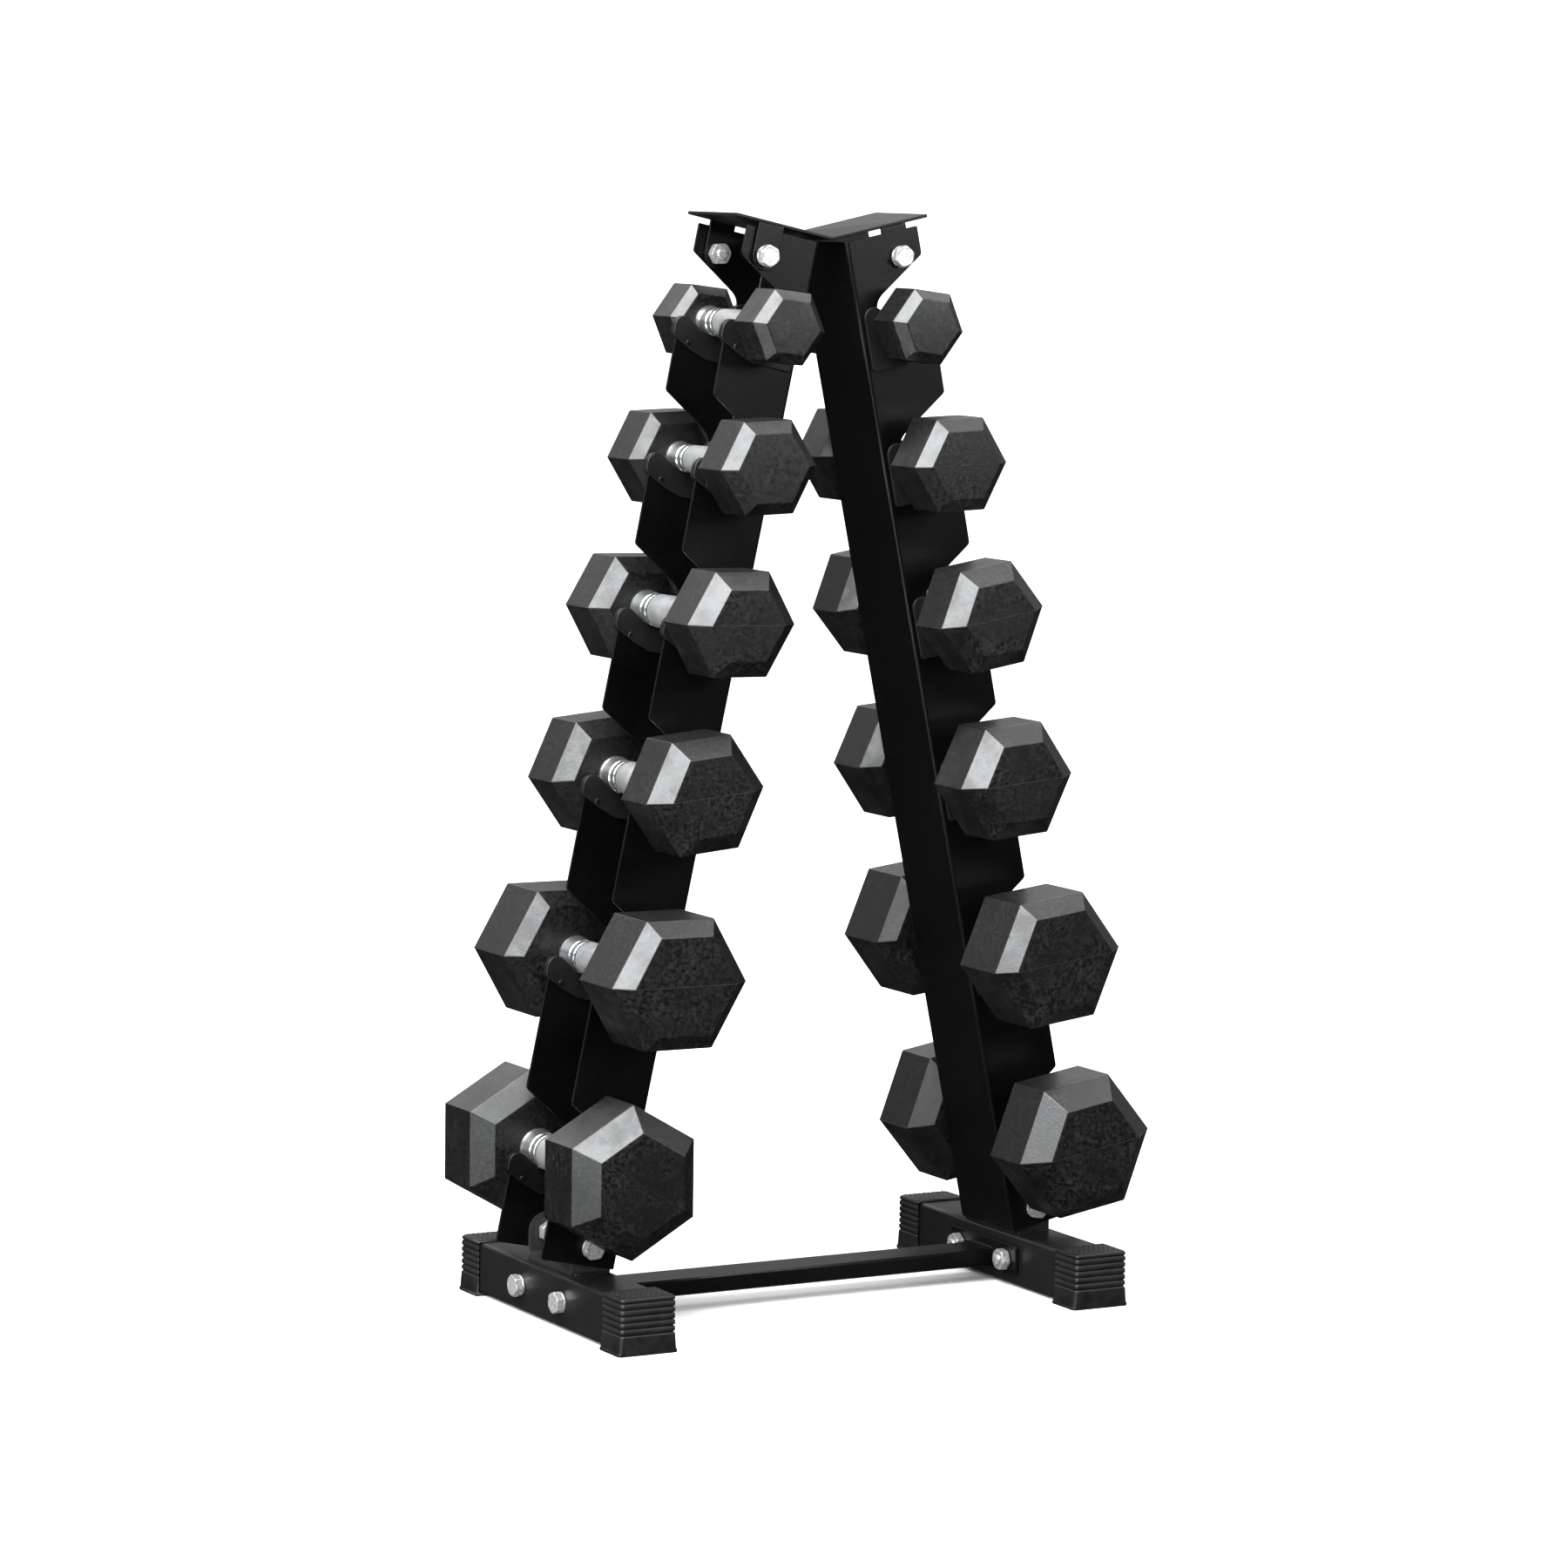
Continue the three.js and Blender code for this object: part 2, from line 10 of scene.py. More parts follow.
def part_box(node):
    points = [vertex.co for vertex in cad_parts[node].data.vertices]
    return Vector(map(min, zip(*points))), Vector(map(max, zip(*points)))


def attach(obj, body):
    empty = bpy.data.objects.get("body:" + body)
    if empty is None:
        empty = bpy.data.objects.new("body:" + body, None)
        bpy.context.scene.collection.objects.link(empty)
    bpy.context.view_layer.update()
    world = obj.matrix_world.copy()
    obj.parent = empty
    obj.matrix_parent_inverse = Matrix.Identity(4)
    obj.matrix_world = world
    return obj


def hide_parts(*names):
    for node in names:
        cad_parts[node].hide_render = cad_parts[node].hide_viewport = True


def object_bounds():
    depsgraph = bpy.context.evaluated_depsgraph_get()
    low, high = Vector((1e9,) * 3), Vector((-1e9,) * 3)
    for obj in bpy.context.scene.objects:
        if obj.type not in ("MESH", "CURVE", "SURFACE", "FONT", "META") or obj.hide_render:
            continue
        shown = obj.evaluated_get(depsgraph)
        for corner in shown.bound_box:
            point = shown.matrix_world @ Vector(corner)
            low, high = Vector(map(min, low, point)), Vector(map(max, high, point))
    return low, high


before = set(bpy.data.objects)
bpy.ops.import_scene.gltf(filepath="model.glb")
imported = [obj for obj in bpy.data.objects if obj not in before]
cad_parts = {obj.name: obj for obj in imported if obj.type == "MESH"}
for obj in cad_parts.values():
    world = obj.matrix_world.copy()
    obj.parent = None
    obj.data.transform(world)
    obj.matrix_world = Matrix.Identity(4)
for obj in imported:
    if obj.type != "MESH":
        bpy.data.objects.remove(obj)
CAD_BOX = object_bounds()

MM = 0.001
SIDES = {"left": -1, "right": 1}
ENDS = {"front": -1, "rear": 1}
TIERS = range(1, 7)

# ---------- dimensions of the real pieces, in millimetres ----------

SHEET = 2.5  # leg sheet
LEG_BEND = 4.0  # outer radius of the leg's two bends
LEG_WIDTH = 73.0
LEG_DEPTH = 90.0
LEG_ABOVE = 25.0
LEG_BELOW = 878.0
TOOTH_TIPS = [0, 123, 259, 405, 565, 742]
SADDLE_OUT = 40.6
FIRST_SADDLE = 56.0
GRIPS = [12.5, 12.5, 15, 15, 15, 16]
NOTCH_WALL = 20.6
SLOPE_DROP = 25.0
SLOPE_END = 30.0
CUT_CRADLE = 20.0
CUT_LIP = 5.4
LINER_CRADLE = 17.0
LINER_LIP = 9.5
LIP_CENTRE = Vector((27.0, -14.0))

PLATE_SHEET = 3.0
PLATE_RISE = 32.5
PLATE_REACH = 87.5
PLATE_FOLD = 10.0
TAB_WIDTH = 24.6
TAB_DROP = 10.0
TAB_OUT = 51.5

TUBE_TOP = 48.0
TUBE_WALL = 2.0
TUBE_CORNER = 3.6

HEX_FLATS = 17.0

# corner radius, where the flats start and end and where the face lies, all from the grip's middle,
# and the face's share of the corner radius
HEADS = [
    dict(corner=35.6, start=58.8, end=92.0, face=100.8, taper=0.74),
    dict(corner=46.3, start=64.6, end=105.5, face=116.0, taper=0.74),
    dict(corner=52.0, start=71.2, end=114.3, face=129.3, taper=0.68),
    dict(corner=56.8, start=66.9, end=112.9, face=129.1, taper=0.69),
    dict(corner=64.3, start=73.4, end=133.4, face=147.3, taper=0.76),
    dict(corner=67.5, start=73.7, end=124.2, face=143.5, taper=0.68),
]
INNER_CHAMFER = 0.7
CONE_SHARE = 0.045
# how far each pair of heads is rolled round its grip, in degrees, by tier
TURNS = {"left": [-6.9, 2, -1, 5.4, -0.3, -30], "right": [-7.5, 2.3, 9.8, 5.1, 7.5, 9.8]}


# ---------- places, from the frame ----------


def centre(node):
    """Middle of a CAD node's box."""
    low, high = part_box(node)
    return (low + high) / 2


HANDLES = {(s, t): centre(f"{s}_{t}_handle") for s in SIDES for t in TIERS}
RUN = HANDLES["right", 6] - HANDLES["right", 1]
LEAN = math.atan2(RUN.x, -RUN.z)
DOWN = Vector((math.sin(LEAN), 0, -math.cos(LEAN)))  # down the right leg
OUT = Vector((math.cos(LEAN), 0, math.sin(LEAN)))  # out from its web
LEG_ORIGIN = HANDLES["right", 1] - OUT * (SADDLE_OUT * MM) - DOWN * (FIRST_SADDLE * MM)
LEG_ORIGIN.y = 0
SADDLES = [
    FIRST_SADDLE + (HANDLES["right", t] - HANDLES["right", 1]).dot(DOWN) / MM for t in TIERS
]


def side_turn(side):
    """Half a turn about Z for the left side: it is the right side turned round."""
    return Matrix.Rotation(0 if side == "right" else math.pi, 4, "Z")


def leg_matrix(side):
    """Leg frame in millimetres (x out from the web, y across, z up the leg) to the row frame."""
    axes = Matrix((OUT, Vector((0, 1, 0)), -DOWN)).transposed().to_4x4()
    return side_turn(side) @ Matrix.Translation(LEG_ORIGIN) @ axes @ Matrix.Scale(MM, 4)


# ---------- materials ----------


def new_material(name):
    """An empty Principled material, with its nodes and links."""
    material = bpy.data.materials.new(name)
    material.use_nodes = True
    return material, material.node_tree.nodes, material.node_tree.links


def object_noise(nodes, links, scale, detail=4.0, rough=0.55, stretch=None):
    """Noise in object coordinates, in features per metre."""
    coords = nodes.new("ShaderNodeTexCoord")
    noise = nodes.new("ShaderNodeTexNoise")
    noise.inputs["Scale"].default_value = scale
    noise.inputs["Detail"].default_value = detail
    noise.inputs["Roughness"].default_value = rough
    if stretch:
        mapping = nodes.new("ShaderNodeMapping")
        mapping.inputs["Scale"].default_value = stretch
        links.new(coords.outputs["Object"], mapping.inputs["Vector"])
        links.new(mapping.outputs["Vector"], noise.inputs["Vector"])
    else:
        links.new(coords.outputs["Object"], noise.inputs["Vector"])
    return noise.outputs["Fac"]


def ramp(nodes, links, source, stops):
    """A colour ramp from (position, grey or colour) stops."""
    node = nodes.new("ShaderNodeValToRGB")
    elements = node.color_ramp.elements
    while len(elements) < len(stops):
        elements.new(0.5)
    for element, (position, value) in zip(elements, stops):
        element.position = position
        colour = value if isinstance(value, tuple) else (value, value, value)
        element.color = (*colour, 1)
    links.new(source, node.inputs["Fac"])
    return node.outputs["Color"]


def mix_colour(nodes, links, factor, a, b, mode="MIX"):
    """Mixes two colours; each value may be a number, a colour or another node's output."""
    node = nodes.new("ShaderNodeMix")
    node.data_type = "RGBA"
    node.blend_type = mode
    # a colour mix has its factor, A and B in sockets 0, 6 and 7
    for socket, value in ((node.inputs[0], factor), (node.inputs[6], a), (node.inputs[7], b)):
        if isinstance(value, bpy.types.NodeSocket):
            links.new(value, socket)
        elif isinstance(value, tuple):
            socket.default_value = (*value, 1)
        else:
            socket.default_value = value
    return node.outputs[2]


def bump(nodes, links, height, strength, distance, below=None):
    """Relief from a height, in metres, over the relief below it."""
    node = nodes.new("ShaderNodeBump")
    node.inputs["Strength"].default_value = strength
    node.inputs["Distance"].default_value = distance
    links.new(height, node.inputs["Height"])
    if below:
        links.new(below, node.inputs["Normal"])
    return node.outputs["Normal"]


def convex_edge_mask(nodes, links, low, high):
    """From 0 on flats to 1 on sharp convex edges."""
    geometry = nodes.new("ShaderNodeNewGeometry")
    return ramp(nodes, links, geometry.outputs["Pointiness"], [(low, 0.0), (high, 1.0)])


def paint_material():
    """Black powder coat: fine orange peel, a little haze and dust, and paler edges that are partly rubbed
    wear and partly a painted edge highlight.
    """
    material, nodes, links = new_material("black_powder_coat")
    shader = nodes["Principled BSDF"]
    haze = object_noise(nodes, links, 14, 6, 0.6)
    speckle = object_noise(nodes, links, 380, 3, 0.6)
    tone = ramp(nodes, links, haze, [(0.2, 0.0003), (0.85, 0.0018)])
    fleck = ramp(nodes, links, speckle, [(0.4, 0.3), (0.62, 1.0)])
    tone = mix_colour(nodes, links, 1.0, tone, fleck, "MULTIPLY")
    # paler convex edges: partly rubbed wear, partly a painted highlight along the bends and cut edges
    edges = convex_edge_mask(nodes, links, 0.54, 0.68)
    links.new(mix_colour(nodes, links, edges, tone, (0.012, 0.012, 0.012)), shader.inputs["Base Color"])
    grain = object_noise(nodes, links, 900, 3, 0.6)
    peel = object_noise(nodes, links, 260, 2, 0.5)
    gloss = ramp(nodes, links, haze, [(0.2, 0.27), (0.85, 0.37)])
    links.new(gloss, shader.inputs["Roughness"])
    first = bump(nodes, links, peel, 0.09, 0.0006)
    links.new(bump(nodes, links, grain, 0.07, 0.0003, first), shader.inputs["Normal"])
    shader.inputs["Specular IOR Level"].default_value = 0.21
    return material


def rubber_material():
    """Head rubber: pebbled grain, faint mottling and scuffs, slightly paler moulded edges."""
    material, nodes, links = new_material("head_rubber")
    shader = nodes["Principled BSDF"]
    mottle = object_noise(nodes, links, 26, 9, 0.72)
    tone = ramp(nodes, links, mottle, [(0.38, 0.001), (0.64, 0.01)])
    scuffs = object_noise(nodes, links, 60, 5, 0.7, (1, 0.35, 3))
    scuffed = ramp(nodes, links, scuffs, [(0.62, 0.0), (0.74, 0.35)])
    tone = mix_colour(nodes, links, scuffed, tone, (0.011, 0.011, 0.011))
    speckle = object_noise(nodes, links, 300, 4, 0.65)
    fleck = ramp(nodes, links, speckle, [(0.4, 0.08), (0.62, 1.0)])
    tone = mix_colour(nodes, links, 1.0, tone, fleck, "MULTIPLY")
    edges = convex_edge_mask(nodes, links, 0.53, 0.68)
    links.new(mix_colour(nodes, links, edges, tone, (0.014, 0.014, 0.014)), shader.inputs["Base Color"])
    grain = object_noise(nodes, links, 1500, 4, 0.7)
    pebble = object_noise(nodes, links, 420, 3, 0.6)
    links.new(ramp(nodes, links, mottle, [(0.42, 0.41), (0.58, 0.28)]), shader.inputs["Roughness"])
    first = bump(nodes, links, pebble, 0.17, 0.0005)
    links.new(bump(nodes, links, grain, 0.13, 0.0003, first), shader.inputs["Normal"])
    shader.inputs["Specular IOR Level"].default_value = 0.48
    return material


def cap_material():
    """Softer, duller rubber of the feet, with dust in its texture."""
    material, nodes, links = new_material("cap_rubber")
    shader = nodes["Principled BSDF"]
    mottle = object_noise(nodes, links, 70, 6, 0.7)
    tone = ramp(nodes, links, mottle, [(0.38, 0.0004), (0.64, 0.0034)])
    edges = convex_edge_mask(nodes, links, 0.52, 0.6)
    links.new(mix_colour(nodes, links, edges, tone, (0.006, 0.006, 0.006)), shader.inputs["Base Color"])
    shader.inputs["Specular IOR Level"].default_value = 0.27
    links.new(ramp(nodes, links, mottle, [(0.38, 0.46), (0.64, 0.58)]), shader.inputs["Roughness"])
    grain = object_noise(nodes, links, 1100, 4, 0.7)
    links.new(bump(nodes, links, grain, 0.15, 0.0003), shader.inputs["Normal"])
    return material


def plastic_material():
    """Moulded saddle plastic with a fine spark-eroded grain."""
    material, nodes, links = new_material("saddle_plastic")
    shader = nodes["Principled BSDF"]
    mottle = object_noise(nodes, links, 50, 4, 0.6)
    tone = ramp(nodes, links, mottle, [(0.38, 0.0006), (0.64, 0.0018)])
    edges = convex_edge_mask(nodes, links, 0.53, 0.64)
    links.new(mix_colour(nodes, links, edges, tone, (0.012, 0.012, 0.012)), shader.inputs["Base Color"])
    links.new(ramp(nodes, links, mottle, [(0.3, 0.36), (0.75, 0.46)]), shader.inputs["Roughness"])
    shader.inputs["Specular IOR Level"].default_value = 0.24
    grain = object_noise(nodes, links, 1300, 2, 0.5)
    links.new(bump(nodes, links, grain, 0.08, 0.0003), shader.inputs["Normal"])
    return material


def chrome_material():
    """Polished chrome of the collars and rings, a little hazy, with painted shade darkening its grooves."""
    material, nodes, links = new_material("chrome")
    shader = nodes["Principled BSDF"]
    shader.inputs["Metallic"].default_value = 0.95
    haze = object_noise(nodes, links, 90, 4, 0.6)
    tone = ramp(nodes, links, haze, [(0.35, (0.5, 0.505, 0.51)), (0.65, (0.6, 0.605, 0.61))])
    geometry = nodes.new("ShaderNodeNewGeometry")
    # painted shade: concave grooves (low pointiness) get a near-black base colour in place of the shadow
    # that falls inside them
    grooves = ramp(nodes, links, geometry.outputs["Pointiness"], [(0.42, 1.0), (0.49, 0.0)])
    links.new(mix_colour(nodes, links, grooves, tone, (0.03, 0.03, 0.03)), shader.inputs["Base Color"])
    links.new(ramp(nodes, links, haze, [(0.35, 0.2), (0.65, 0.24)]), shader.inputs["Roughness"])
    return material


def satin_material():
    """Satin chrome of the grip itself: a fine even tooth and a soft haze."""
    material, nodes, links = new_material("satin_grip")
    shader = nodes["Principled BSDF"]
    shader.inputs["Metallic"].default_value = 0.8
    haze = object_noise(nodes, links, 70, 5, 0.6)
    tone = ramp(nodes, links, haze, [(0.35, (0.24, 0.242, 0.245)), (0.65, (0.3, 0.302, 0.305))])
    links.new(tone, shader.inputs["Base Color"])
    links.new(ramp(nodes, links, haze, [(0.35, 0.46), (0.65, 0.56)]), shader.inputs["Roughness"])
    tooth = object_noise(nodes, links, 900, 3, 0.6)
    links.new(bump(nodes, links, tooth, 0.2, 0.0003), shader.inputs["Normal"])
    return material


def zinc_material():
    """Bright zinc plating with a soft crystalline mottle."""
    material, nodes, links = new_material("zinc_plate")
    shader = nodes["Principled BSDF"]
    shader.inputs["Metallic"].default_value = 0.74
    haze = object_noise(nodes, links, 320, 5, 0.65)
    tone = ramp(nodes, links, haze, [(0.38, 0.33), (0.62, (0.5, 0.5, 0.495))])
    links.new(tone, shader.inputs["Base Color"])
    links.new(ramp(nodes, links, haze, [(0.38, 0.26), (0.62, 0.36)]), shader.inputs["Roughness"])
    links.new(bump(nodes, links, haze, 0.06, 0.0002), shader.inputs["Normal"])
    return material


def stage_material():
    """Pale matte paper with the faintest mottle."""
    material, nodes, links = new_material("studio_paper")
    shader = nodes["Principled BSDF"]
    mottle = object_noise(nodes, links, 3, 3, 0.5)
    tone = ramp(nodes, links, mottle, [(0.3, (0.84, 0.84, 0.845)), (0.7, (0.88, 0.88, 0.885))])
    links.new(tone, shader.inputs["Base Color"])
    shader.inputs["Roughness"].default_value = 0.9
    return material


PAINT = paint_material()
RUBBER = rubber_material()
CAP_RUBBER = cap_material()
PLASTIC = plastic_material()
CHROME = chrome_material()
SATIN = satin_material()
ZINC = zinc_material()


# ---------- mesh helpers ----------


def arc(centre_x, centre_y, radius, start, end, steps):
    """Points of an arc, angles in radians; it may run either way."""
    return [
        Vector((centre_x + radius * math.cos(a), centre_y + radius * math.sin(a)))
        for a in (start + (end - start) * i / steps for i in range(steps + 1))
    ]


def lathe_bm(profile, segments):
    """Closed surface turned about Y from (radius, y) points; a radius of 0 at an end makes a pole."""
    bm = bmesh.new()
    rings = []
    for radius, y in profile:
        if radius == 0:
            rings.append([bm.verts.new((0, y, 0))])
            continue
        ring = []
        for i in range(segments):
            a = 2 * math.pi * i / segments
            ring.append(bm.verts.new((radius * math.cos(a), y, radius * math.sin(a))))
        rings.append(ring)
    for low, high in zip(rings, rings[1:]):
        for i in range(segments):
            j = (i + 1) % segments
            corners = [low[i % len(low)], low[j % len(low)], high[j % len(high)], high[i % len(high)]]
            face = []
            for vert in corners:
                if vert not in face:
                    face.append(vert)
            if len(face) > 2:
                bm.faces.new(face)
    bmesh.ops.recalc_face_normals(bm, faces=bm.faces)
    return bm


def bridge(bm, rings):
    """Quads between each ring of vertices and the next."""
    for low, high in zip(rings, rings[1:]):
        for i in range(len(low)):
            j = (i + 1) % len(low)
            bm.faces.new((low[i], low[j], high[j], high[i]))


def loft_bm(rings):
    """A closed body through rings of points, with a face over the first and the last."""
    bm = bmesh.new()
    rings = [[bm.verts.new(p) for p in ring] for ring in rings]
    bridge(bm, rings)
    bm.faces.new(rings[0])
    bm.faces.new(rings[-1])
    bmesh.ops.recalc_face_normals(bm, faces=bm.faces)
    return bm


def prism_bm(outline, low, high, axis="Y"):
    """A closed prism along an axis: its outline lies in the other two, in alphabetical order."""
    bm = bmesh.new()
    place = {
        "X": lambda p, t: (t, p[0], p[1]),
        "Y": lambda p, t: (p[0], t, p[1]),
        "Z": lambda p, t: (p[0], p[1], t),
    }[axis]
    first = [bm.verts.new(place(p, low)) for p in outline]
    second = [bm.verts.new(place(p, high)) for p in outline]
    bm.faces.new(first)
    bm.faces.new(second)
    bridge(bm, [first, second])
    bmesh.ops.recalc_face_normals(bm, faces=bm.faces)
    return bm


def bevel_sharp(bm, width, segments=2, angle=0.5):
    """Rounds every edge that is sharper than the angle, in radians."""
    sharp = [e for e in bm.edges if len(e.link_faces) == 2 and e.calc_face_angle(0) > angle]
    bmesh.ops.bevel(
        bm, geom=sharp, offset=width, segments=segments, profile=0.5, affect="EDGES",
        clamp_overlap=True,
    )


def merged(target, extra):
    """Adds the faces of one bmesh to another."""
    mesh = bpy.data.meshes.new("part")
    extra.to_mesh(mesh)
    extra.free()
    target.from_mesh(mesh)
    bpy.data.meshes.remove(mesh)
    return target


def object_from(bm, name, matrix=None):
    """Turns a bmesh into a named object, its mesh moved by the matrix, and frees the bmesh."""
    if matrix is not None:
        bm.transform(matrix)
    mesh = bpy.data.meshes.new(name)
    bmesh.ops.recalc_face_normals(bm, faces=bm.faces)
    bm.to_mesh(mesh)
    bm.free()
    piece = bpy.data.objects.new(name, mesh)
    bpy.context.scene.collection.objects.link(piece)
    return piece


def dress(piece, material, body, replaced=()):
    """Smooth shading with weighted normals, the material, and the CAD body it rides on."""
    mesh = piece.data
    mesh.materials.clear()
    mesh.materials.append(material)
    mesh.polygons.foreach_set("use_smooth", [True] * len(mesh.polygons))
    weighted = piece.modifiers.new("weighted_normals", "WEIGHTED_NORMAL")
    weighted.keep_sharp = True
    weighted.weight = 100
    if replaced:
        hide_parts(*replaced)
    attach(piece, body)
    return piece


def boolean(piece, others, operation):
    """Applies an exact boolean with each other object, and removes those."""
    for other in others:
        modifier = piece.modifiers.new("boolean", "BOOLEAN")
        modifier.operation = operation
        modifier.solver = "EXACT"
        modifier.object = other
    depsgraph = bpy.context.evaluated_depsgraph_get()
    mesh = bpy.data.meshes.new_from_object(piece.evaluated_get(depsgraph))
    piece.modifiers.clear()
    old = piece.data
    piece.data = mesh
    bpy.data.meshes.remove(old)
    for other in others:
        bpy.data.objects.remove(other)
    return piece


def trim(piece, mask_bm, matrix):
    """Keeps what lies inside the mask, rounds the sharp edges, then moves the mesh by the matrix."""
    boolean(piece, [object_from(mask_bm, "mask")], "INTERSECT")
    bm = bmesh.new()
    bm.from_mesh(piece.data)
    bevel_sharp(bm, 0.5, 2, 0.9)
    bm.transform(matrix)
    bm.to_mesh(piece.data)
    bm.free()


def rounded_rectangle(width, height, radius, steps=5):
    """Outline round the origin, with arcs at its four corners."""
    x, y = width / 2 - radius, height / 2 - radius
    points = []
    for quarter, (cx, cy) in enumerate(((x, y), (-x, y), (-x, -y), (x, -y))):
        start = quarter * math.pi / 2
        points += arc(cx, cy, radius, start, start + math.pi / 2, steps)
    return points


# ---------- dumbbells ----------


def head_levels(size):
    """Where a head's inner cone and its inner chamfer start along the grip."""
    chamfer = INNER_CHAMFER * (size["face"] - size["end"])
    cone = CONE_SHARE * size["corner"]
    inner = size["start"] - chamfer
    return inner - cone, inner


def head_piece(side, tier, end):
    """A hexagonal head: flats, two chamfers, a shallow inner cone and a collar round the grip."""
    size = HEADS[tier - 1]
    grip = GRIPS[tier - 1]
    cone, inner = head_levels(size)
    corner, taper = size["corner"], size["taper"]
    edge = 0.75
    crease = 0.5
    tip = corner * taper
    levels = [(tip, inner), (corner, size["start"]), (corner, size["end"]), (tip, size["face"])]
    bm = bmesh.new()
    rings = []
    for radius, y in levels:
        rings.append([
            bm.verts.new((radius * math.cos(i * math.pi / 3), y, radius * math.sin(i * math.pi / 3)))
            for i in range(6)
        ])
    bridge(bm, rings)
    # the two mould halves meet on a slight crease through two opposite corners
    outer = rings[-1]
    outer[0].co.y += crease
    outer[3].co.y += crease
    bm.faces.new(outer[:4])
    bm.faces.new([outer[3], outer[4], outer[5], outer[0]])
    neck = [
        bm.verts.new(((grip + 5) * math.cos(i * math.pi / 3), cone, (grip + 5) * math.sin(i * math.pi / 3)))
        for i in range(6)
    ]
    bridge(bm, [neck, rings[0]])
    bm.faces.new(neck)
    bmesh.ops.recalc_face_normals(bm, faces=bm.faces)
    bevel_sharp(bm, edge, 3, 0.3)
    # a moulded seat for the grip stands a little out of the inner cone
    seat = lathe_bm([(0, cone + 4), (grip + 3.2, cone + 4), (grip + 2.4, cone - 0.2), (0, cone - 0.2)], 40)
    merged(bm, seat)
    flash = [(radius + 0.2, y) for radius, y in levels]
    flash[-1] = (levels[-1][0] + 0.1, levels[-1][1] + crease + 0.1)
    flash[0] = (levels[0][0], levels[0][1] - 0.1)
    line = prism_bm(flash + [(-x, y) for x, y in reversed(flash)], -0.22, 0.22, axis="Z")
    merged(bm, line)
    turn = Matrix.Rotation(-math.radians(TURNS[side][tier - 1]), 4, "Y")
    flip = Matrix.Rotation(math.pi if end == "front" else 0, 4, "Z")
    place = Matrix.Translation(HANDLES[side, tier]) @ turn @ flip @ Matrix.Scale(MM, 4)
    node = f"{side}_{tier}_{end}_head"
    piece = object_from(bm, f"{node}_rubber", place)
    return dress(piece, RUBBER, f"{side}_dumbbell_{tier}", [node])


def handle_piece(side, tier):
    """Chromed grip: flared collar, two grooves and rings at each end, and a gently swelled shaft."""
    size = HEADS[tier - 1]
    grip = GRIPS[tier - 1]
    cone, _ = head_levels(size)
    low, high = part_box(f"{side}_{tier}_handle")
    half_length = (high.y - low.y) / 2 / MM
    clear = 47.9 + abs(HANDLES[side, tier].y) / MM  # no wider than the grip inside the liners
    profile = [(0, half_length), (grip - 2, half_length), (grip - 2, cone - 0.35)]
    if cone - clear > 1.2:
        profile += [(grip + 1.5, cone - 0.4), (grip + 1.3, cone - 1.0)]
    collar, ring_width, groove_width = 15.5, 5.0, 3.4
    y = cone - collar
    profile += [(grip - 0.1, clear), (grip - 0.1, y + 0.9), (grip - 0.9, y)]
    groove = grip - 2.6
    for ring in (ring_width, 0):
        profile += [(groove, y - 0.3), (groove, y - groove_width + 0.3)]
        y -= groove_width
        if ring:
            profile += [(grip - 0.6, y), (grip - 0.2, y - 0.5)]
            y -= ring
            profile += [(grip - 0.2, y + 0.5), (grip - 0.6, y)]
    profile += [(grip - 0.7, y), (grip - 0.25, y - 0.5)]
    y -= 0.6
    shaft = y * MM
    for i in range(9):
        share = i / 8
        profile.append((grip - 0.25 + 0.2 * math.sin(share * math.pi / 2), y * (1 - share)))
    mirrored = [(radius, -along) for radius, along in reversed(profile[:-1])]
    bm = lathe_bm(profile + mirrored, 48)
    place = Matrix.Translation(HANDLES[side, tier]) @ Matrix.Scale(MM, 4)
    node = f"{side}_{tier}_handle"
    piece = dress(object_from(bm, f"{node}_chrome", place), CHROME, f"{side}_dumbbell_{tier}", [node])
    piece.data.set_sharp_from_angle(angle=math.radians(38))
    piece.data.materials.append(SATIN)
    for face in piece.data.polygons:
        face.material_index = int(abs(face.center.y - HANDLES[side, tier].y) < shaft)
    return piece


# ---------- legs and saddle liners ----------


def cradle_centre(tier):
    """Centre of a tier's cradle in the leg frame: the grip lies on its bottom."""
    lift = LINER_CRADLE - GRIPS[tier] - 0.3
    return Vector((SADDLE_OUT + lift * math.sin(LEAN), -SADDLES[tier] + lift * math.cos(LEAN)))


def cradle_run(middle, cradle, lip, steps=14):
    """Down the cradle's inner side, round its bottom, up the straight and over the outer lip."""
    top = middle + LIP_CENTRE
    tilt = math.atan2(LIP_CENTRE.y, LIP_CENTRE.x) + math.acos(-(cradle + lip) / LIP_CENTRE.length)
    bottom = arc(middle.x, middle.y, cradle, math.pi, tilt + math.pi, steps)
    over = arc(top.x, top.y, lip, tilt, 0, steps // 2)
    return bottom + over


def flange_edge():
    """The free edge of a flange from its top corner down to its foot, in the leg frame."""
    points = [Vector((LEG_WIDTH, LEG_ABOVE))]
    for tier, tip in enumerate(TOOTH_TIPS):
        # the tooth's nose has a small radius, then its underside slopes in to the notch wall
        slope_end = Vector((SLOPE_END, -tip - SLOPE_DROP))
        nose = Vector((LEG_WIDTH, -tip))
        inward = (slope_end - nose).normalized()
        points += [nose + Vector((0, 2.2)), nose + Vector((-0.35, 0.5)), nose + inward * 2.2]
        wall = Vector((NOTCH_WALL, -tip - SLOPE_DROP - 13))
        control = Vector((NOTCH_WALL, -tip - SLOPE_DROP - 5))
        for i in range(7):
            t = i / 6
            points.append(slope_end * (1 - t) ** 2 + control * (2 * t * (1 - t)) + wall * t**2)
        points += cradle_run(cradle_centre(tier), CUT_CRADLE, CUT_LIP)
    points += [Vector((LEG_WIDTH, -LEG_BELOW + 1.5)), Vector((LEG_WIDTH - 1.5, -LEG_BELOW))]
    return points


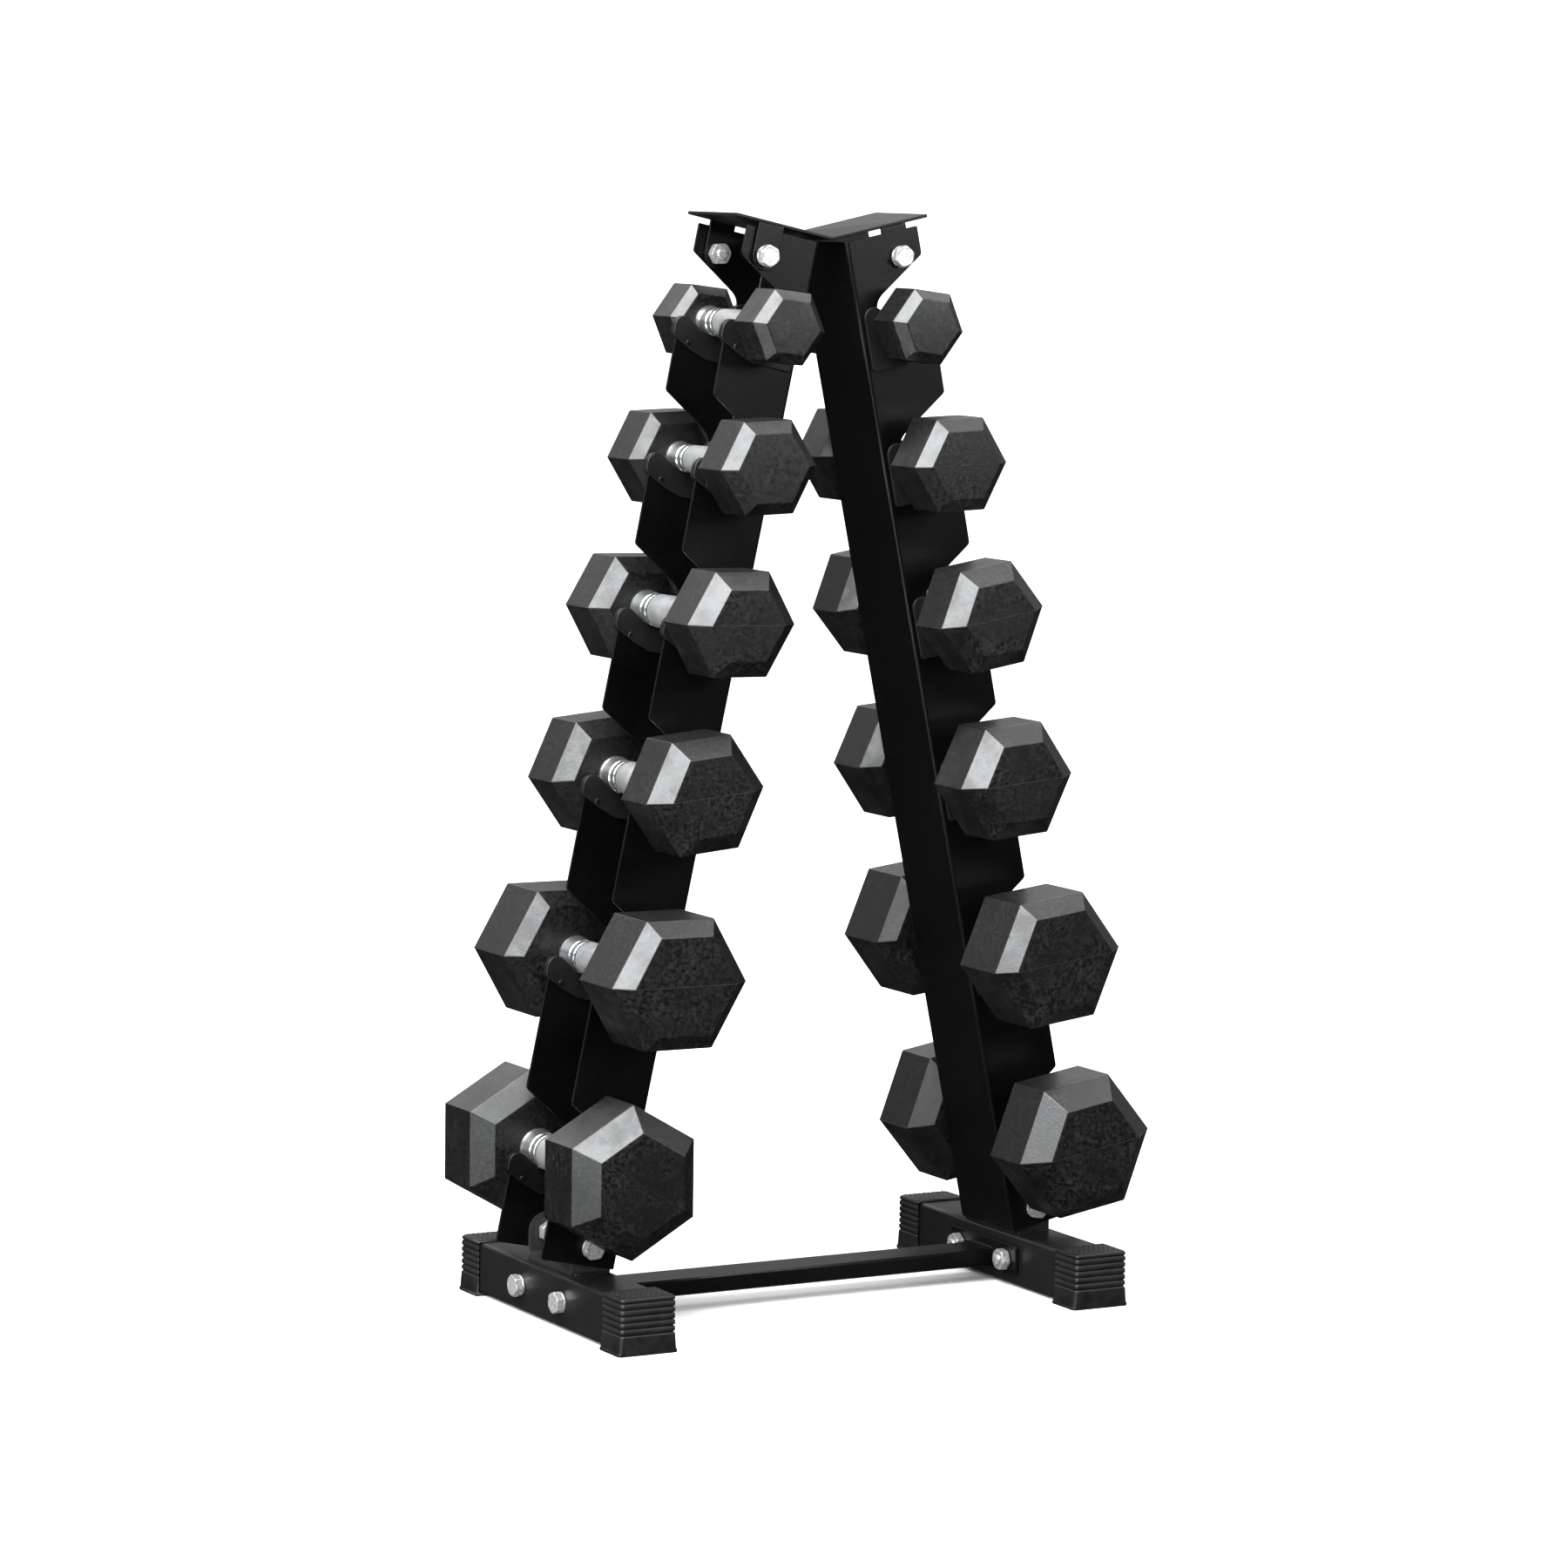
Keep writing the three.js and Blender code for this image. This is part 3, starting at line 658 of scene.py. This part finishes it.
def bent(distance):
    """Section of the channel's middle surface from the middle of the web: (x, y, normal x, normal y)."""
    radius = LEG_BEND - SHEET / 2
    half_web = LEG_DEPTH / 2 - LEG_BEND
    length = abs(distance)
    sign = 1 if distance >= 0 else -1
    if length <= half_web:
        return SHEET / 2, distance, -1.0, 0.0
    turned = (length - half_web) / radius
    if turned < math.pi / 2:
        x = LEG_BEND - radius * math.cos(turned)
        y = half_web + radius * math.sin(turned)
        return x, sign * y, -math.cos(turned), sign * math.sin(turned)
    x = LEG_BEND + (length - half_web - radius * math.pi / 2)
    return x, sign * (half_web + radius), 0.0, float(sign)


def flat_distance(x):
    """Distance from the middle of the web to a point of the flange at that x, along the sheet."""
    radius = LEG_BEND - SHEET / 2
    return LEG_DEPTH / 2 - LEG_BEND + radius * math.pi / 2 + (x - LEG_BEND)


def leg_piece(side):
    """The leg as one folded sheet: its flat pattern is sliced at the bends, folded and thickened."""
    edge = [Vector((flat_distance(p.x), p.y)) for p in flange_edge()]
    outline = edge + [Vector((-p.x, p.y)) for p in reversed(edge)]
    flat = bmesh.new()
    flat.faces.new([flat.verts.new((p.x, p.y, 0)) for p in outline])
    radius = LEG_BEND - SHEET / 2
    half_web = LEG_DEPTH / 2 - LEG_BEND
    bends = [half_web + radius * math.pi / 2 * i / 5 for i in range(6)]
    for cut in bends + [-b for b in bends]:
        everything = flat.verts[:] + flat.edges[:] + flat.faces[:]
        bmesh.ops.bisect_plane(flat, geom=everything, plane_co=(cut, 0, 0), plane_no=(1, 0, 0))
    bmesh.ops.triangulate(flat, faces=flat.faces, quad_method="BEAUTY", ngon_method="BEAUTY")
    bm = bmesh.new()
    layers = []
    for offset in (SHEET / 2, -SHEET / 2):
        layer = {}
        for vert in flat.verts:
            x, y, nx, ny = bent(vert.co.x)
            layer[vert] = bm.verts.new((x + nx * offset, y + ny * offset, vert.co.y))
        layers.append(layer)
    for face in flat.faces:
        bm.faces.new([layers[0][v] for v in face.verts])
        bm.faces.new([layers[1][v] for v in reversed(face.verts)])
    for rim in (e for e in flat.edges if len(e.link_faces) == 1):
        a, b = rim.verts
        bm.faces.new((layers[0][a], layers[0][b], layers[1][b], layers[1][a]))
    flat.free()
    bmesh.ops.recalc_face_normals(bm, faces=bm.faces)
    rims = [e for e in bm.edges if len(e.link_faces) == 2 and e.calc_face_angle(0) > 1.2]
    bmesh.ops.bevel(bm, geom=rims, offset=0.5, segments=2, profile=0.5, affect="EDGES", clamp_overlap=True)
    piece = object_from(bm, f"{side}_leg_sheet", leg_matrix(side))
    return dress(piece, PAINT, "rack", [f"{side}_leg"])


def liner_outline(tier):
    """Cheek of a saddle liner in the leg frame."""
    middle = cradle_centre(tier)
    left = 5.2
    arm = 9.5
    arm_y = middle.y + 17 - arm
    right = middle.x + LIP_CENTRE.x + LINER_LIP
    points = [Vector((left + 2, middle.y - 38)), Vector((left, middle.y - 36))]
    points += arc(middle.x - LINER_CRADLE - arm, arm_y, arm, math.pi, 0, 12)
    points += cradle_run(middle, LINER_CRADLE, LINER_LIP)
    points += [Vector((right, middle.y - 20)), Vector((right - 0.6, middle.y - 22.4))]
    points += [Vector((middle.x + 33, middle.y - 25)), Vector((middle.x + 14, middle.y - 33.5))]
    points += [Vector((middle.x, middle.y - 38))]
    return points


def liner_piece(side, tier, end):
    """A saddle liner: two cheeks and a rounded cradle round the flange, with snap pins."""
    face = LEG_DEPTH / 2
    near, far = face - SHEET - 2.3, face + 2.3
    sign = ENDS[end] * SIDES[side]
    low, high = (near, far) if sign > 0 else (-far, -near)
    bm = prism_bm(liner_outline(tier), low, high)
    bevel_sharp(bm, 0.8, 2, 0.7)
    middle = cradle_centre(tier)
    for y in (low, high):
        outward = 1 if y == high else -1
        pin = lathe_bm([(0, -1.0), (2.7, -1.0), (2.7, 0.0), (1.9, 0.18), (0, 0.26)], 24)
        place = Matrix.Translation((middle.x + 20, y, middle.y - 27))
        pin.transform(place @ Matrix.Scale(outward, 4, (0, 1, 0)))
        merged(bm, pin)
    piece = object_from(bm, f"{side}_{tier + 1}_{end}_saddle_liner", leg_matrix(side))
    return dress(piece, PLASTIC, "rack")


# ---------- top plate ----------


def plate_piece():
    """A V-folded sheet with four tabs, each bent down against its flange."""
    to_row = leg_matrix("right")

    def wing(out, up):
        point = to_row @ Vector((out, 0, up))
        return Vector((point.x / MM, point.z / MM))

    outer_edge = wing(PLATE_REACH, PLATE_RISE)
    outer_under = wing(PLATE_REACH, PLATE_RISE - PLATE_SHEET)
    start = wing(0, PLATE_RISE)
    fold_z = start.y - start.x * math.tan(LEAN) + PLATE_FOLD / math.cos(LEAN)
    downward = 1.5 * math.pi
    top = arc(0, fold_z, PLATE_FOLD, downward + LEAN, downward - LEAN, 12)
    under = arc(0, fold_z, PLATE_FOLD + PLATE_SHEET, downward - LEAN, downward + LEAN, 12)
    mirror = Vector((-1, 1))
    outline = [outer_edge] + top + [outer_edge * mirror, outer_under * mirror] + under + [outer_under]
    bm = prism_bm(outline, -1, 1)
    face = LEG_DEPTH / 2
    outer_tab = face + 0.3 + PLATE_SHEET
    inner_tab = face - SHEET - 0.3
    tab_x = wing(TAB_OUT, PLATE_RISE).x
    slope = (outer_tab - inner_tab) / 2 / tab_x
    edge = (outer_tab + inner_tab) / 2
    for vert in bm.verts:
        vert.co.y = edge * (1 if vert.co.y > 0 else -1) + slope * vert.co.x
    bevel_sharp(bm, 0.7, 2, 0.8)
    plate = object_from(bm, "plate_sheet")
    faces = ((-1, inner_tab), (1, outer_tab))
    tabs = [tab_object(side, sign, tab_face) for side in SIDES for sign, tab_face in faces]
    boolean(plate, tabs, "UNION")
    plate.data.transform(Matrix.Scale(MM, 4))
    plate.name = "top_plate_sheet"
    return dress(plate, PAINT, "rack", ["top_plate"])


def tab_object(side, sign, tab_face):
    """A tab in millimetres: bent down from the wing with a round foot."""
    bend = 4.2
    half = TAB_WIDTH / 2
    top = PLATE_RISE
    root = tab_face - bend - PLATE_SHEET
    section = [Vector((root, top)), Vector((root, top - PLATE_SHEET))]
    section += arc(tab_face - bend, top - bend, bend - PLATE_SHEET, math.pi / 2, 0, 4)
    section += [Vector((tab_face - PLATE_SHEET, -TAB_DROP)), Vector((tab_face, -TAB_DROP))]
    section += arc(tab_face - bend, top - bend, bend, 0, math.pi / 2, 6)
    section = [(sign * p.x, p.y) for p in section]
    tab = object_from(prism_bm(section, TAB_OUT - half, TAB_OUT + half, "X"), "tab")
    above = top + 5
    foot = [Vector((TAB_OUT + half, above)), Vector((TAB_OUT - half, above))]
    foot += arc(TAB_OUT, half - TAB_DROP, half, math.pi, 2 * math.pi, 20)
    near, far = sorted((sign * (tab_face - PLATE_SHEET - 12), sign * (tab_face + 2)))
    trim(tab, prism_bm(foot, near, far), Matrix.Scale(1 / MM, 4) @ leg_matrix(side))
    return tab


# ---------- feet ----------


def tube_piece(side):
    """Open-ended base tube, with its wall and rounded corners."""
    low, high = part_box(f"{side}_base")
    width = (high.x - low.x) / MM
    middle_x = (high.x + low.x) / 2 / MM
    half = (high.y - low.y) / 2 / MM
    bottom, top = low.z / MM, TUBE_TOP
    section = rounded_rectangle(width, top - bottom, TUBE_CORNER)
    walls = 2 * TUBE_WALL
    inner = rounded_rectangle(width - walls, top - bottom - walls, TUBE_CORNER - TUBE_WALL)
    bm = bmesh.new()
    loops = []
    for points, y in ((section, -half), (section, half), (inner, half), (inner, -half)):
        loops.append([bm.verts.new((middle_x + p.x, y, (top + bottom) / 2 + p.y)) for p in points])
    bridge(bm, loops + loops[:1])
    piece = object_from(bm, f"{side}_base_tube", Matrix.Scale(MM, 4))
    return dress(piece, PAINT, "rack", [f"{side}_base"])


def bracket_piece(side):
    """Folded strap bracket: a base on the tube and two round-topped ears."""
    base, ear, radius, bend = 5.0, 3.5, 17.0, 2.5
    bolt = centre("right_foot_bolt_front") / MM
    outer = LEG_DEPTH / 2 - SHEET - 0.3
    inner_x, outer_x = bolt.x - 19.9, bolt.x + radius
    seat = TUBE_TOP - 0.15  # sunk a little into the tube, as its welds are
    half_section = [Vector((0, seat)), Vector((outer - 1.0, seat)), Vector((outer, TUBE_TOP + 0.8))]
    half_section += [Vector((outer, bolt.z + radius)), Vector((outer - ear, bolt.z + radius))]
    half_section += arc(outer - ear - bend, TUBE_TOP + base + bend, bend, 0, -math.pi / 2, 5)
    half_section += [Vector((0, TUBE_TOP + base))]
    section = half_section + [Vector((-p.x, p.y)) for p in reversed(half_section[1:-1])]
    strap = object_from(prism_bm(section, inner_x, outer_x, "X"), f"{side}_leg_bracket")
    side_view = [Vector((inner_x, TUBE_TOP - 1)), Vector((outer_x, TUBE_TOP - 1))]
    side_view += [Vector((outer_x, bolt.z))]
    side_view += arc(bolt.x, bolt.z, radius, 0, math.pi, 24)
    side_view += [Vector((bolt.x - radius, TUBE_TOP + base + 6)), Vector((inner_x, TUBE_TOP + base))]
    trim(strap, prism_bm(side_view, -60, 60), side_turn(side) @ Matrix.Scale(MM, 4))
    return dress(strap, PAINT, "rack")


def lug_bm(x, y, z):
    """A small moulded diamond with a flat crown, for the cap's top face."""
    corners = ((1.25, 0), (0, 1), (-1.25, 0), (0, -1))
    return loft_bm([
        [(x + size * a, y + size * b, z + rise) for a, b in corners]
        for size, rise in ((1.9, 0), (1.8, 0.4), (1.0, 0.8))
    ])


def cap_piece(side, end):
    """Ribbed rubber end cap: six ribs over a plain flared skirt, and a lug pattern on top."""
    node = f"{side}_cap_{end}"
    low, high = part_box(node)
    low, high = low / MM, high / MM
    flare, skirt, ribs, depth, corner = 2.2, 17.0, 6, 1.0, 3.2
    half = (high.x - low.x) / 2 - flare
    middle = (low.x + high.x) / 2
    start, stop = (low.y, high.y) if end == "rear" else (-high.y, -low.y)
    pitch = (high.z - skirt) / ribs
    # height, how far the wall stands in, and how far the sides flare out
    levels = [(0.0, 0.0, flare - 0.6), (0.7, 0.0, flare), (2.6, 0.0, flare), (3.3, 0.0, flare - 1.0)]
    levels += [(skirt - 1, 0.0, 0.15), (skirt, 0.15, 0)]
    for rib in range(ribs):
        z = skirt + rib * pitch
        levels += [(z + 0.45, depth, 0), (z + 1.25, depth, 0), (z + 1.9, 0.1, 0)]
        levels += [(z + pitch / 2 + 0.6, 0.0, 0), (z + pitch - 0.15, 0.1, 0)]
    levels = levels[:-2] + [(high.z - 2.2, 0.1, 0)]
    levels += [(high.z - 1.5, 0.45, 0), (high.z - 0.65, 1.2, 0)]
    levels += [(high.z - 0.15, 2.2, 0), (high.z, 3.2, 0)]
    rings = []
    for z, inset, grow in levels:
        x = half - inset + grow
        y = stop - start - inset
        outline = [Vector((x, 0))] + arc(x - corner, y - corner, corner, 0, math.pi / 2, 5)
        outline += arc(-x + corner, y - corner, corner, math.pi / 2, math.pi, 5) + [Vector((-x, 0))]
        rings.append([(p.x, p.y, z) for p in outline])
    shell = object_from(loft_bm(rings), node + "_ribbed")
    room_width, room_height, floor, room_end = 48.6, 45.6, 3.0, 151.3
    tube = rounded_rectangle(room_width, room_height, TUBE_CORNER, 4)
    tube = [Vector((p.x, p.y + floor + 22.5)) for p in tube]
    boolean(shell, [object_from(prism_bm(tube, -5, room_end - start), "room")], "DIFFERENCE")
    lugs = bmesh.new()
    lugs.from_mesh(shell.data)
    rows, columns, across, along = 7, 9, 4.9, 4.5
    for row in range(rows):
        for column in range(columns):
            x = (column - (columns - 1) / 2 + 0.5 * (row % 2) - 0.25) * across
            merged(lugs, lug_bm(x, 4.4 + row * along, high.z - 0.3))
    lugs.to_mesh(shell.data)
    lugs.free()
    flip = Matrix.Rotation(math.pi if end == "front" else 0, 4, "Z")
    to_end = Matrix.Translation((middle, 0, 0)) @ flip @ Matrix.Translation((0, start, 0))
    shell.data.transform(Matrix.Scale(MM, 4) @ to_end)
    return dress(shell, CAP_RUBBER, "rack", [node])


# ---------- cross bar ----------


def bar_piece():
    """Flat rectangular tube with a rounded end plate at each base tube."""
    low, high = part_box("cross_bar")
    low, high = low / MM, high / MM
    thickness, plate_width, plate_height, plate_z = 4.0, high.y - low.y, 26.0, 26.5
    width, height, middle_z = 40, 15.4, 23.4
    section = [p + Vector((0, middle_z)) for p in rounded_rectangle(width, height, 2.2, 4)]
    reach = high.x - thickness + 0.5
    bm = prism_bm(section, -reach, reach, "X")
    plate = [p + Vector((0, plate_z)) for p in rounded_rectangle(plate_width, plate_height, 3.0, 5)]
    for sign in (-1, 1):
        end = prism_bm(plate, sign * (high.x - thickness), sign * high.x, "X")
        bevel_sharp(end, 0.6, 2, 0.9)
        merged(bm, end)
    return dress(object_from(bm, "cross_bar_tube", Matrix.Scale(MM, 4)), PAINT, "rack", ["cross_bar"])


def bead_piece(name, start, end, radius, ripple):
    """A weld bead: a closed round run whose radius ripples with each drop, tapered at both ends."""
    start, end = Vector(start), Vector(end)
    run = (end - start).length
    steps = max(12, int(run / 0.45))
    profile = [(0, 0.0)]
    for i in range(1, steps):
        share = i / steps
        taper = min(1, 4 * min(share, 1 - share) * run / (8 * radius)) ** 0.5
        drop = 0.5 + 0.5 * math.cos(2 * math.pi * share * run / ripple)
        profile.append((radius * taper * (0.78 + 0.22 * drop), share * run))
    profile.append((0, run))
    bm = lathe_bm(profile, 14)
    aim = (end - start).to_track_quat("Y", "Z").to_matrix().to_4x4()
    piece = object_from(bm, name, Matrix.Scale(MM, 4) @ Matrix.Translation(start) @ aim)
    return dress(piece, PAINT, "rack")


def weld_pieces(side):
    """Beads under each end of the leg bracket, and round the cross bar at its end plate."""
    way = SIDES[side]
    toe, z = 43.4, TUBE_TOP + 0.2
    near, far = way * 206, way * 239
    for end, sign in ENDS.items():
        name = f"{side}_bracket_weld_{end}"
        bead_piece(name, (near, sign * toe, z), (far, sign * toe, z), 2.0, 2.4)
    plate = way * 196.4
    half_width, bottom, top = 18, 16.5, 30.5
    for name, z in (("top", 31.2), ("bottom", 15.6)):
        bead_piece(f"{side}_bar_weld_{name}", (plate, -half_width, z), (plate, half_width, z), 1.7, 2.2)
    for name, y in (("front", -20.1), ("rear", 20.1)):
        bead_piece(f"{side}_bar_weld_{name}", (plate, y, bottom), (plate, y, top), 1.6, 2.2)


# ---------- fasteners ----------


def hexagon_cut(angle, crown):
    """Radius of the hexagon at an angle, cut off at the crown circle that turns its corners."""
    folded = (angle % (math.pi / 3)) - math.pi / 6
    return min(HEX_FLATS / 2 / math.cos(folded), crown)


def circle(radius, y, segments, crown=None):
    """A ring of points round Y; with a crown it is the hexagon, cut off at the crown circle."""
    angles = [2 * math.pi * i / segments for i in range(segments)]
    radii = [hexagon_cut(a, crown) if crown else radius for a in angles]
    return [(r * math.cos(a), y, r * math.sin(a)) for r, a in zip(radii, angles)]


def hexagon_bm(height, is_nut, hollow, low=0.0):
    """Head or nut: a hexagon with turned corners (both ends on a nut) and a dished top face."""
    segments = 72
    corner = HEX_FLATS / math.sqrt(3)
    turned = corner * 0.955
    high = low + height
    levels = [(low + 0.001, turned if is_nut else corner), (low + (0.9 if is_nut else 0.3), corner)]
    levels += [(high - 1.1, corner), (high - 0.45, turned), (high, corner * 0.90)]
    rings = [circle(0, y, segments, crown) for y, crown in levels]
    rim = HEX_FLATS / 2 * 0.84
    rings += [circle(rim, high, segments), circle(rim * 0.93, high - hollow, segments)]
    return loft_bm(rings)


def bolt_bm(grip):
    """Bolt along Y: hex head on a washer, and past the grip a nut and a threaded stub."""
    base, washer, head, nut = 0.3, 2.0, 6.4, 8
    bm = hexagon_bm(head, False, 0.35, base + washer)
    top = base + washer
    ring = [(0, base), (8.9, base), (9.1, base + 0.25), (9.1, top - 0.5), (8.6, top), (0, top + 0.05)]
    merged(bm, lathe_bm(ring, 48))
    nut_face = -grip - base
    nut_part = hexagon_bm(nut, True, 0.25)
    nut_part.transform(Matrix.Translation((0, nut_face, 0)) @ Matrix.Rotation(math.pi, 4, "Z"))
    merged(bm, nut_part)
    stub = nut_face - nut
    thread = [(0, base + 1), (4.7, base + 1), (4.7, nut_face - 1), (4.7, stub + 0.2)]
    for i in range(3):
        y = stub - 0.2 - i * 0.9
        thread += [(4.2, y), (4.75, y - 0.35), (4.75, y - 0.5)]
    thread += [(4.0, stub - 2.95), (0, stub - 3.0)]
    merged(bm, lathe_bm(list(reversed(thread)), 32))
    return bm


def bolt_piece(side, kind, end):
    """A bolt at its CAD node, turned outwards, each kind a little differently spun."""
    node = f"{side}_{kind}_bolt_{end}"
    low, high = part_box(node)
    middle = (low + high) / 2 / MM
    sign = ENDS[end]
    above_face = 8.7  # washer and head together
    grip = {"top": 5.8, "foot": 6.3, "bar": 52.3}[kind]
    if kind == "bar":
        outward = SIDES[side]
        face = (high.x if outward > 0 else -low.x) / MM - above_face
        turn = Matrix.Rotation(-outward * math.pi / 2, 4, "Z")
        origin = Vector((outward * face, middle.y, middle.z))
    else:
        face = (high.y if sign > 0 else -low.y) / MM - above_face
        turn = Matrix.Rotation(0 if sign > 0 else math.pi, 4, "Z")
        origin = Vector((middle.x, sign * face, middle.z))
    spin = {"top": 0.35, "foot": 0.9, "bar": 0.15}[kind] + 0.4 * (sign > 0) + 0.25 * (side == "left")
    place = Matrix.Scale(MM, 4) @ Matrix.Translation(origin) @ turn @ Matrix.Rotation(spin, 4, "Y")
    return dress(object_from(bolt_bm(grip), node + "_zinc", place), ZINC, "rack", [node])


# ---------- everything ----------

for side in SIDES:
    leg_piece(side)
    tube_piece(side)
    bracket_piece(side)
    weld_pieces(side)
    for end in ENDS:
        cap_piece(side, end)
        for kind in ("top", "foot", "bar"):
            bolt_piece(side, kind, end)
        for tier in range(6):
            liner_piece(side, tier, end)
    for tier in TIERS:
        handle_piece(side, tier)
        for end in ENDS:
            head_piece(side, tier, end)
plate_piece()
bar_piece()


# ---------- stage, light and camera ----------


def studio():
    """Pale floor that sweeps up all round into a bowl. It stays out of mirror reflections."""
    floor_radius, sweep, rim = 5.0, 3.0, 4.5
    profile = [(0, 0.0), (1.5, 0.0), (3.2, 0.0), (floor_radius, 0.0)]
    profile += [
        (floor_radius + sweep * math.sin(a), sweep - sweep * math.cos(a))
        for a in (math.pi / 2 * i / 20 for i in range(1, 21))
    ]
    profile.append((floor_radius + sweep, rim))
    bm = bmesh.new()
    segments = 96
    rings = []
    for radius, z in profile:
        around = segments if radius else 1
        angles = [2 * math.pi * i / around for i in range(around)]
        rings.append([bm.verts.new((radius * math.cos(a), radius * math.sin(a), z)) for a in angles])
    for low, high in zip(rings, rings[1:]):
        for i in range(segments):
            j = (i + 1) % segments
            if len(low) == 1:
                bm.faces.new((low[0], high[i], high[j]))
            else:
                bm.faces.new((low[i], high[i], high[j], low[j]))
    mesh = bpy.data.meshes.new("studio_sweep")
    bm.to_mesh(mesh)
    bm.free()
    piece = bpy.data.objects.new("studio_sweep", mesh)
    bpy.context.scene.collection.objects.link(piece)
    mesh.materials.append(stage_material())
    mesh.polygons.foreach_set("use_smooth", [True] * len(mesh.polygons))
    piece.visible_glossy = False


def softbox(name, direction, distance, width, height, watts, target):
    """A rectangular area light that looks at the target from a direction."""
    light = bpy.data.lights.new(name, "AREA")
    light.shape = "RECTANGLE"
    light.size, light.size_y = width, height
    light.energy = watts
    light.color = (0.965, 0.985, 1.0)
    lamp = bpy.data.objects.new(name, light)
    bpy.context.scene.collection.objects.link(lamp)
    direction = Vector(direction).normalized()
    lamp.location = target + direction * distance
    lamp.rotation_mode = "QUATERNION"
    lamp.rotation_quaternion = direction.to_track_quat("Z", "Y")


def studio_air():
    """World light: bright overhead, fading to near black under the horizon."""
    world = bpy.data.worlds.new("studio_air")
    world.use_nodes = True
    nodes, links = world.node_tree.nodes, world.node_tree.links
    direction = nodes.new("ShaderNodeTexCoord")
    height = nodes.new("ShaderNodeSeparateXYZ")
    links.new(direction.outputs["Generated"], height.inputs["Vector"])
    share = nodes.new("ShaderNodeMapRange")
    share.inputs["From Min"].default_value = -0.2
    links.new(height.outputs["Z"], share.inputs["Value"])
    sky = [(0.0, 0.016), (0.17, 0.02), (0.42, 0.12), (0.7, 0.8), (1.0, 1.0)]
    overhead = ramp(nodes, links, share.outputs["Result"], sky)
    links.new(overhead, nodes["Background"].inputs["Color"])
    nodes["Background"].inputs["Strength"].default_value = 3.0
    bpy.context.scene.world = world


def aim_camera(place, azimuth, elevation, roll, lens):
    """The scene's camera: angles in degrees, azimuth 0 looks along +Y, lens in millimetres."""
    azimuth, elevation, roll = (math.radians(a) for a in (azimuth, elevation, roll))
    back = Vector((
        math.sin(azimuth) * math.cos(elevation),
        -math.cos(azimuth) * math.cos(elevation),
        math.sin(elevation),
    ))
    right = Vector((math.cos(azimuth), math.sin(azimuth), 0))
    up = back.cross(right)
    x_axis = right * math.cos(roll) + up * math.sin(roll)
    y_axis = up * math.cos(roll) - right * math.sin(roll)
    data = bpy.data.cameras.new("camera")
    data.lens = lens
    data.sensor_width = 36
    data.clip_end = 50
    camera = bpy.data.objects.new("camera", data)
    bpy.context.scene.collection.objects.link(camera)
    axes = Matrix((x_axis, y_axis, back)).transposed().to_4x4()
    camera.matrix_world = Matrix.Translation(place) @ axes
    bpy.context.scene.camera = camera


MIDDLE = (CAD_BOX[0] + CAD_BOX[1]) / 2
studio()
softbox("key_softbox", (-0.60, -0.40, 0.69), 2.6, 2.0, 2.6, 300, MIDDLE)
softbox("front_fill", (0.478, -0.868, 0.08), 2.0, 0.9, 0.7, 11, Vector((0, 0, 1.12)))
softbox("low_fill", (-0.8, -0.44, -0.3), 1.7, 1.0, 0.5, 14, Vector((0, 0, 0.75)))
studio_air()
aim_camera((-2.34567, -4.21177, 1.00872), -28.953, 6.507, 0.824, 126.738)
bpy.context.scene.view_settings.view_transform = "Standard"
